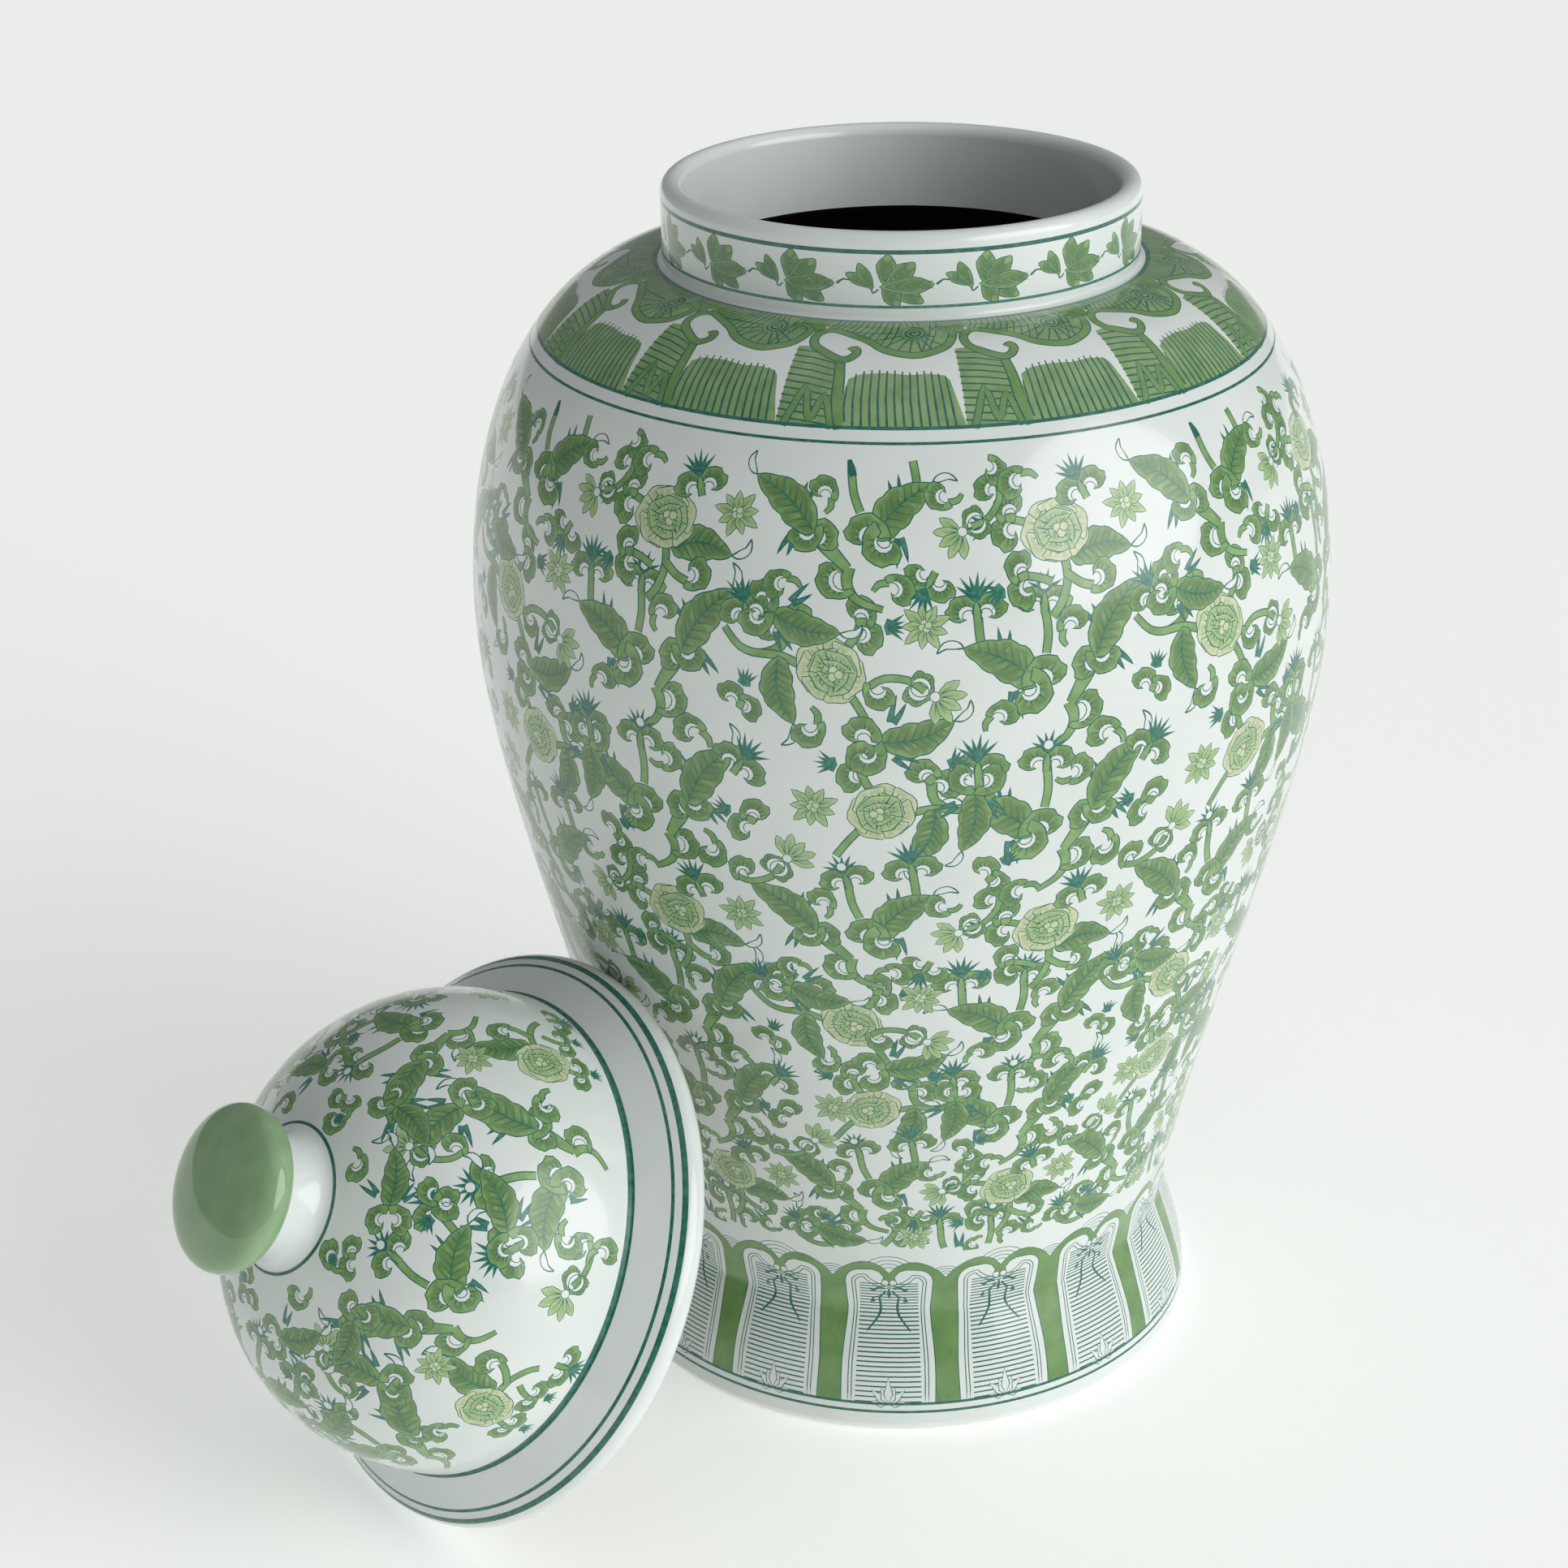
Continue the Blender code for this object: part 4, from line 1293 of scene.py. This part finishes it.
# the body: two thrown halves joined at the belly
innerLower = [(radius - thick, height) for radius, height in lowerWall]
lowerPatches = keepBetween(painted, heights, waist, belly) + [
    joinRings(ringsAt(waist), waistOut, shares, waistIn, (0, -1), turn, (0.885, 0.89)),
    # the inner wall of the lower body, in the painted shade of the inside
    jarSurface(innerLower[::-4], (0.90, 0.98), inside),
    joinRings(shares, bellyIn, ringsAt(belly), bellyOut, (0, 1), turn, (0.985, 0.99)),
]
innerUpper = [point for point in inset(upperWall, thick) if point[0] > mouthRadius + 8]
innerUpper[0] = bellyIn
mouth, throat = (mouthRadius, shoulderLevel), (mouthRadius, shoulderLevel - 1.6)
innerShoulder = [throat] + innerUpper[::-4] + ([innerUpper[0]] if (len(innerUpper) - 1) % 4 else [])
upperPatches = keepBetween(painted, heights, belly, wallEnd) + [
    joinRings(ringsAt(belly), bellyOut, shares, bellyIn, (0, -1), turn, (0.885, 0.89)),
    # the inner wall under the shoulder, in the painted shade of the inside; the throat above it stays white
    jarSurface(innerShoulder, (0.90, 0.97), inside),
    jarSurface([mouth, throat], (0.972, 0.976)),
    joinRings(ringsAt(wallEnd), (shoulderRadius, shoulderLevel), shares, mouth, (0, 1), turn, (0.98, 0.99)),
]

# the collar, with its garland and a rounded lip
half = jar["collarWall"] / 2
fillet = arc((shoulderRadius, shoulderLevel + jar["fillet"]), jar["fillet"], 270, 180, 6)
filletTop = shoulderLevel + jar["fillet"]
collarWall = wallOf(fillet + [(collarRadius, filletTop + (jarHeight - half - filletTop) * k / 20)
                              for k in range(1, 21)])
collarEnd = float(collarWall["along"][-1])
collarStart = float(collarWall["along"][6])
garlandLow = alongAt(collarWall, jar["collarLowLine"])
garlandHigh = alongAt(collarWall, jar["collarHighLine"])
collarWidth = 2 * pi * collarRadius / collar["repeats"]
shapes = [ringLine(collarWidth, garlandLow, 0.9), ringLine(collarWidth, garlandHigh, 1.3)]
shapes[0] = (shapes[0][0], "spike")
shapes += [([(x, y + garlandLow) for x, y in points], ink)
           for points, ink in garlandShapes(collarWidth, garlandHigh - garlandLow)]
tile = cutTile(collarWidth, collarStart, collarEnd, shapes, lowCount=7, highCount=7)
along = tile["corners"][:, 1]
garland = wrapTile(tile, collar["repeats"], collarWall, along, turn, lambda a: 0.05 + 0.6 * a / collarEnd)
print("collar cut, faces in a repeat:", len(tile["faces"]))
collarLevels = [along] * len(garland)
lip = arc((collarRadius - half, jarHeight - half), half, 0, 180, 18)
collarPatches = garland + [
    joinRings(shares, lip[1], edgeShares(garland, collarLevels, collarEnd), lip[0], (1, 0.1), turn,
              (0.67, 0.66)),
    jarSurface(lip[1:], (0.67, 0.75)),
    jarSurface([lip[-1], mouth], (0.76, 0.95)),
    joinRings(shares, fillet[-2], edgeShares(garland, collarLevels, collarStart), fillet[-1], (1, 0.15), turn,
              (0.04, 0.05)),
    jarSurface(fillet[:-1], (0.02, 0.04)),
    jarSurface([mouth, fillet[0]], (0.96, 0.99)),
]
pieces = {
    "jar_base": ("foot_ring_and_floor", basePatches, jarPlace, "jar", "white_glaze"),
    "lower_body": ("painted_lower_body", lowerPatches, jarPlace, "jar", "white_glaze"),
    "upper_body": ("painted_upper_body", upperPatches, jarPlace, "jar", "white_glaze"),
    "collar": ("painted_collar", collarPatches, jarPlace, "jar", "white_glaze"),
}


# ---- the lid ----

lidSizes = {
    "radius": 92.3,
    "bead": 5.8,
    "dome": 77.1,
    "domeHeight": 73.8,
    "fullness": 2.25,
    "slope": radians(35),
    "stemRadius": 22.7,
    "stemWaist": 18.8,
    "stemHeight": 13.5,
    "knobRadius": 26.0,
    "knobRise": 8.5,
    "knobDrop": 6.0,
    "wall": 5.8,
    "seat": 6.0,
    "ringWall": 5.5,
    "ringDepth": 16.0,
    "seam": 0.3,
    "clearance": 1.6,
    "rings": 128,
    "turn": radians(20),
}
axis = Vector(next(joint["axis"] for joint in frame["joints"] if joint["name"] == "lid_lift")).normalized()
beadCentre = lidSizes["radius"] - lidSizes["bead"]
flangeLow, flangeHigh = boxOf("lid_flange")
lidCentre = Vector((flangeHigh.x - beadCentre * axis.z - lidSizes["bead"], (flangeLow.y + flangeHigh.y) / 2,
                    (flangeLow.z + flangeHigh.z) / 2))
side = Vector((0, 1, 0)).cross(axis).normalized()
lidPlace = Matrix((side, Vector((0, 1, 0)), axis)).transposed().to_4x4()
lidPlace.translation = lidCentre * milli
lidShares = np.linspace(0, 1, lidSizes["rings"] + 1)
lidTurn = lidSizes["turn"]


def lidSurface(outline, uvSpan, ink=0, colours=None):
    return turnedPatch(outline, lidShares, lidTurn, uvSpan, ink, colours)


def flangeTop(radius):
    edgeRadius = beadCentre + lidSizes["bead"] * sin(lidSizes["slope"])
    edgeHeight = lidSizes["bead"] * cos(lidSizes["slope"])
    return edgeHeight + (edgeRadius - radius) * tan(lidSizes["slope"])


def domeWall(radius, height, count):
    seat = min(lidSizes["stemRadius"] / radius, 0.9)
    last = acos(seat ** (lidSizes["fullness"] / 2)) * 180 / pi
    return quarter(0, flangeTop(lidSizes["dome"]), radius, height, lidSizes["fullness"], count, last)


domeOutline = domeWall(lidSizes["dome"], lidSizes["domeHeight"], 160)
dome = wallOf(domeOutline)
domeEnd = float(dome["along"][-1])
junction = flangeTop(lidSizes["dome"])


def domeShapes(width):
    # the same scroll, laid out on the flat cap and then unrolled; each motif keeps its real size
    table = np.linspace(0.0, domeEnd, 400)
    radius = onWall(dome, table)[0]
    grow = np.concatenate([[0.0], np.cumsum(np.diff(table) * 0.5 * (1 / radius[1:] + 1 / radius[:-1]))])
    scale = width * lid["repeats"] / (2 * pi)

    def centred(shapes, share, along, turn, size=1.0, flip=False):
        angle = 2 * pi * share / lid["repeats"]
        depth = float(np.interp(along, table, grow))
        reach = exp(grow[-1] - depth)
        real = float(np.interp(along, table, radius))
        made = []
        for points, ink in place(shapes, 0, 0, turn, size * reach / real, flip):
            turned = []
            for x, y in points:
                px, py = reach - y, x
                turned.append((scale * (atan2(py, px) + angle), scale * (grow[-1] - log(hypot(px, py)))))
            made.append((turned, ink))
        return made

    shapes = []
    for motif, share, along, turn, size, flip in lid["layout"]:
        shapes += centred(motif(), share, along, turn, size, flip)
    return shapes, table, grow * scale


lid["layout"] = [
    # motif, share of a repeat, length up the dome, turn, size, mirrored
    (fork, 0.20, 24.0, 8, 0.84, False),
    (peonyBranch, 0.50, 24.0, 84, 0.84, False),
    (lotusBranch, 0.87, 19.0, 40, 0.88, False),
    (sprig, 0.97, 40.0, -54, 0.88, False),
    (fork, 0.72, 50.0, -10, 0.84, True),
    (sprig, 0.40, 52.0, 30, 0.88, False),
    (star, 0.55, 46.0, 0, 0.85, False),
    (crown, 0.68, 10.0, 176, 0.84, False),
    (curl, 0.99, 12.0, -120, 0.9, False),
    (curl, 0.38, 30.0, 40, 0.9, True),
    (curl, 0.01, 25.0, 80, 0.9, True),
    (twin, 0.08, 62.0, 30, 0.84, False),
    (lotusBranch, 0.28, 72.0, -60, 0.84, False),
    (sprig, 0.52, 74.0, 100, 0.80, True),
    (sprig, 0.98, 78.0, -80, 0.80, False),
    (twin, 0.72, 84.0, 0, 0.75, False),
    (curl, 0.30, 88.0, 120, 0.8, False),
    (curl, 0.60, 90.0, 20, 0.8, False),
]
domeWidth = 2 * pi * lidSizes["dome"] / lid["repeats"]
shapes, alongTable, riseTable = domeShapes(domeWidth)
shapes += [ringLine(domeWidth, 0.9, 1.8), ringLine(domeWidth, float(riseTable[-1]) - 1.6, 3.6)]
tile = cutTile(domeWidth, 0.0, float(riseTable[-1]), shapes)
along = np.interp(tile["corners"][:, 1], riseTable, alongTable)
along[np.abs(along - domeEnd) < 1e-3] = domeEnd
scroll = wrapTile(tile, lid["repeats"], dome, along, lidTurn, lambda a: 0.02 + 0.72 * a / domeEnd)
print("dome cut, faces in a repeat:", len(tile["faces"]))
domeLevels = [along] * len(scroll)
innerRadius = lidSizes["dome"] - lidSizes["wall"]
cap = (12.0, domeOutline[-1][1])      # rim of the plain disc under the stem
innerDome = domeWall(innerRadius, lidSizes["domeHeight"] - lidSizes["wall"], 40)
domePatches = scroll + [
    joinRings(lidShares, (innerRadius, junction), edgeShares(scroll, domeLevels, 0.0),
              (lidSizes["dome"], junction), (0, -1), lidTurn, (0.75, 0.76)),
    lidSurface([(0.0, innerDome[-1][1])] + innerDome[::-1], (0.77, 0.93)),
    joinRings(edgeShares(scroll, domeLevels, domeEnd), domeOutline[-1], lidShares, cap, (0, 1), lidTurn,
              (0.94, 0.96)),
    lidSurface([cap, (0.0, cap[1])], (0.96, 0.98)),
]

# the brim: a sloping flange with two painted lines, a rolled edge and a flat seat underneath
teal = inks.index("teal")
slopeEnd = 90 - lidSizes["slope"] * 180 / pi
beadArc = arc((beadCentre, 0), lidSizes["bead"], -110, slopeEnd, 26)
brimTop = [(radius, flangeTop(radius))
           for radius in (87.9, 87.0, 84.0, 81.0, lidSizes["dome"] + 0.7, lidSizes["dome"])]
brimInks = [0] * (len(beadArc) - 4) + [teal] * 3 + [0, teal, 0, 0, 0, teal]
ringRadius = mouthRadius - lidSizes["clearance"]
underRadius = ringRadius - lidSizes["ringWall"]
seat = lidSizes["seat"]
flangePatches = [
    lidSurface(beadArc + brimTop, (0.05, 0.5), 0, brimInks),
    lidSurface([brimTop[-1], (underRadius + 3, junction)], (0.52, 0.6)),
    lidSurface([(underRadius + 3, junction), (underRadius, junction - 3)], (0.61, 0.63)),
    lidSurface([(underRadius, junction - 3), (underRadius, seat)], (0.64, 0.68)),
    lidSurface([(underRadius, seat), (collarRadius + 4, seat)], (0.7, 0.8), clay),
    lidSurface([(collarRadius + 4, seat), beadArc[0]], (0.81, 0.9)),
]
seatTop, seatBottom = seat - lidSizes["seam"], seat - lidSizes["ringDepth"]
chamfer = lidSizes["ringWall"] * 0.3
ringPatches = [
    lidSurface([(underRadius + chamfer, seatBottom), (ringRadius - chamfer, seatBottom)], (0.05, 0.2), clay),
    lidSurface(arc((ringRadius - chamfer, seatBottom + chamfer), chamfer, -90, 0, 6), (0.21, 0.3), clay),
    lidSurface([(ringRadius, seatBottom + chamfer), (ringRadius, seatTop)], (0.31, 0.5), clay),
    lidSurface([(ringRadius, seatTop), (underRadius, seatTop)], (0.51, 0.6), clay),
    lidSurface([(underRadius, seatTop), (underRadius, seatBottom + chamfer)], (0.61, 0.8), clay),
    lidSurface(arc((underRadius + chamfer, seatBottom + chamfer), chamfer, 180, 270, 6), (0.81, 0.9), clay),
]

# the stem and the knob
stemLow = domeOutline[-1][1] + lidSizes["seam"]
stemHigh = stemLow + lidSizes["stemHeight"]
stemWaist = lidSizes["stemWaist"]
sweep = bezier((lidSizes["stemRadius"], stemLow), (stemWaist, stemLow + 0.1 * lidSizes["stemHeight"]),
               (stemWaist, stemLow + 0.5 * lidSizes["stemHeight"]), (stemWaist, stemHigh), 24)
stemPatches = [
    lidSurface([(0.0, stemLow), sweep[0]], (0.05, 0.15)),
    lidSurface(sweep, (0.2, 0.7)),
    lidSurface([sweep[-1], (0.0, stemHigh)], (0.75, 0.95)),
]
knobLow = stemHigh + lidSizes["seam"]
knobRadius = lidSizes["knobRadius"]
middle = knobLow + lidSizes["knobDrop"]
knobTop = quarter(0, middle, knobRadius, lidSizes["knobRise"], 2.6, 40)
knobUnder = [(radius, 2 * middle - height) for radius, height in
             quarter(stemWaist, middle, knobRadius - stemWaist, lidSizes["knobDrop"], 2.0, 14)]
celadon = inks.index("celadon")
knobPatches = [
    lidSurface([(0.0, knobLow)] + knobUnder[-1:0:-1] + knobTop, (0.05, 0.95), celadon),
]
pieces.update({
    "lid_dome": ("painted_dome", domePatches, lidPlace, "lid", "white_glaze"),
    "lid_flange": ("lid_brim", flangePatches, lidPlace, "lid", "white_glaze"),
    "locating_ring": ("unglazed_ring", ringPatches, lidPlace, "lid", "bare_clay"),
    "knob_stem": ("turned_stem", stemPatches, lidPlace, "lid", "white_glaze"),
    "knob": ("celadon_knob", knobPatches, lidPlace, "lid", "celadon_glaze"),
})

for node, (name, patches, matrix, bodyName, slot) in pieces.items():
    piece = buildPiece(name, patches, finishes, matrix)
    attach(piece, bodyName)
    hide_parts(node)


# ---- floor, light and camera ----

room = {
    "floor": linear(249, 250, 248),
    "floorSize": 12.0,
    "world": (0.97, 1.0, 0.99, 1.0),
    "worldStrength": 0.24,
    # name, bearing, height, width across, power
    "lamps": [("key", 60, 17, 54, 2.1), ("top", 100, 74, 80, 0.35)],
    "floorGlow": 0.36,
}


def plainFloor():
    # a flat pale floor that reaches far past the jar, glowing a little so that its shadows stay light
    mesh = bpy.data.meshes.new("studio_sweep")
    size = room["floorSize"]
    corners = [(-size, -size, 0), (size, -size, 0), (size, size, 0), (-size, size, 0)]
    mesh.from_pydata(corners, [], [(0, 1, 2, 3)])
    floor = bpy.data.objects.new("studio_sweep", mesh)
    bpy.context.scene.collection.objects.link(floor)
    material = bpy.data.materials.new("studio_floor")
    material.use_nodes = True
    shader = material.node_tree.nodes["Principled BSDF"]
    shader.inputs["Base Color"].default_value = room["floor"]
    shader.inputs["Roughness"].default_value = 0.65
    shader.inputs["Emission Color"].default_value = room["floor"]
    shader.inputs["Emission Strength"].default_value = room["floorGlow"]
    mesh.materials.append(material)


def skyLamp(name, bearing, height, wide, power):
    # a wide soft lamp far away: its bearing to the right of the camera, seen from the jar, and its height,
    # both in degrees
    lamp = bpy.data.lights.new(name, "SUN")
    lamp.energy = power
    lamp.angle = radians(wide)
    holder = bpy.data.objects.new(name, lamp)
    towards = radians(180 + view["bearing"] - bearing)
    flat = cos(radians(height))
    direction = Vector((sin(towards) * flat, cos(towards) * flat, sin(radians(height))))
    holder.rotation_euler = direction.to_track_quat("Z", "Y").to_euler()
    bpy.context.scene.collection.objects.link(holder)


view = {
    "distance": 0.9628,    # from the jar's axis
    "height": 0.6290,
    "bearing": 40.0,       # of the jar from the camera, degrees from +Y towards +X
    "aim": 37.68,
    "pitch": 24.43,
    "roll": -0.80,
    "lens": 71.7,
}
plainFloor()
for name, bearing, height, wide, power in room["lamps"]:
    skyLamp(name, bearing, height, wide, power)

world = bpy.data.worlds.new("studio")
world.use_nodes = True
world.node_tree.nodes["Background"].inputs["Color"].default_value = room["world"]
world.node_tree.nodes["Background"].inputs["Strength"].default_value = room["worldStrength"]
bpy.context.scene.world = world

lens = bpy.data.cameras.new("camera")
lens.lens = view["lens"]
lens.sensor_width = 36
camera = bpy.data.objects.new("camera", lens)
bearing = radians(view["bearing"])
camera.location = jarPlace.translation + Vector((-view["distance"] * sin(bearing),
                                                 -view["distance"] * cos(bearing), view["height"]))
camera.rotation_euler = (Matrix.Rotation(radians(-view["aim"]), 4, "Z")
                         @ Matrix.Rotation(radians(90 - view["pitch"]), 4, "X")
                         @ Matrix.Rotation(radians(view["roll"]), 4, "Z")).to_euler()
bpy.context.scene.collection.objects.link(camera)
bpy.context.scene.camera = camera
bpy.context.scene.view_settings.view_transform = "Standard"
print("scene ready")
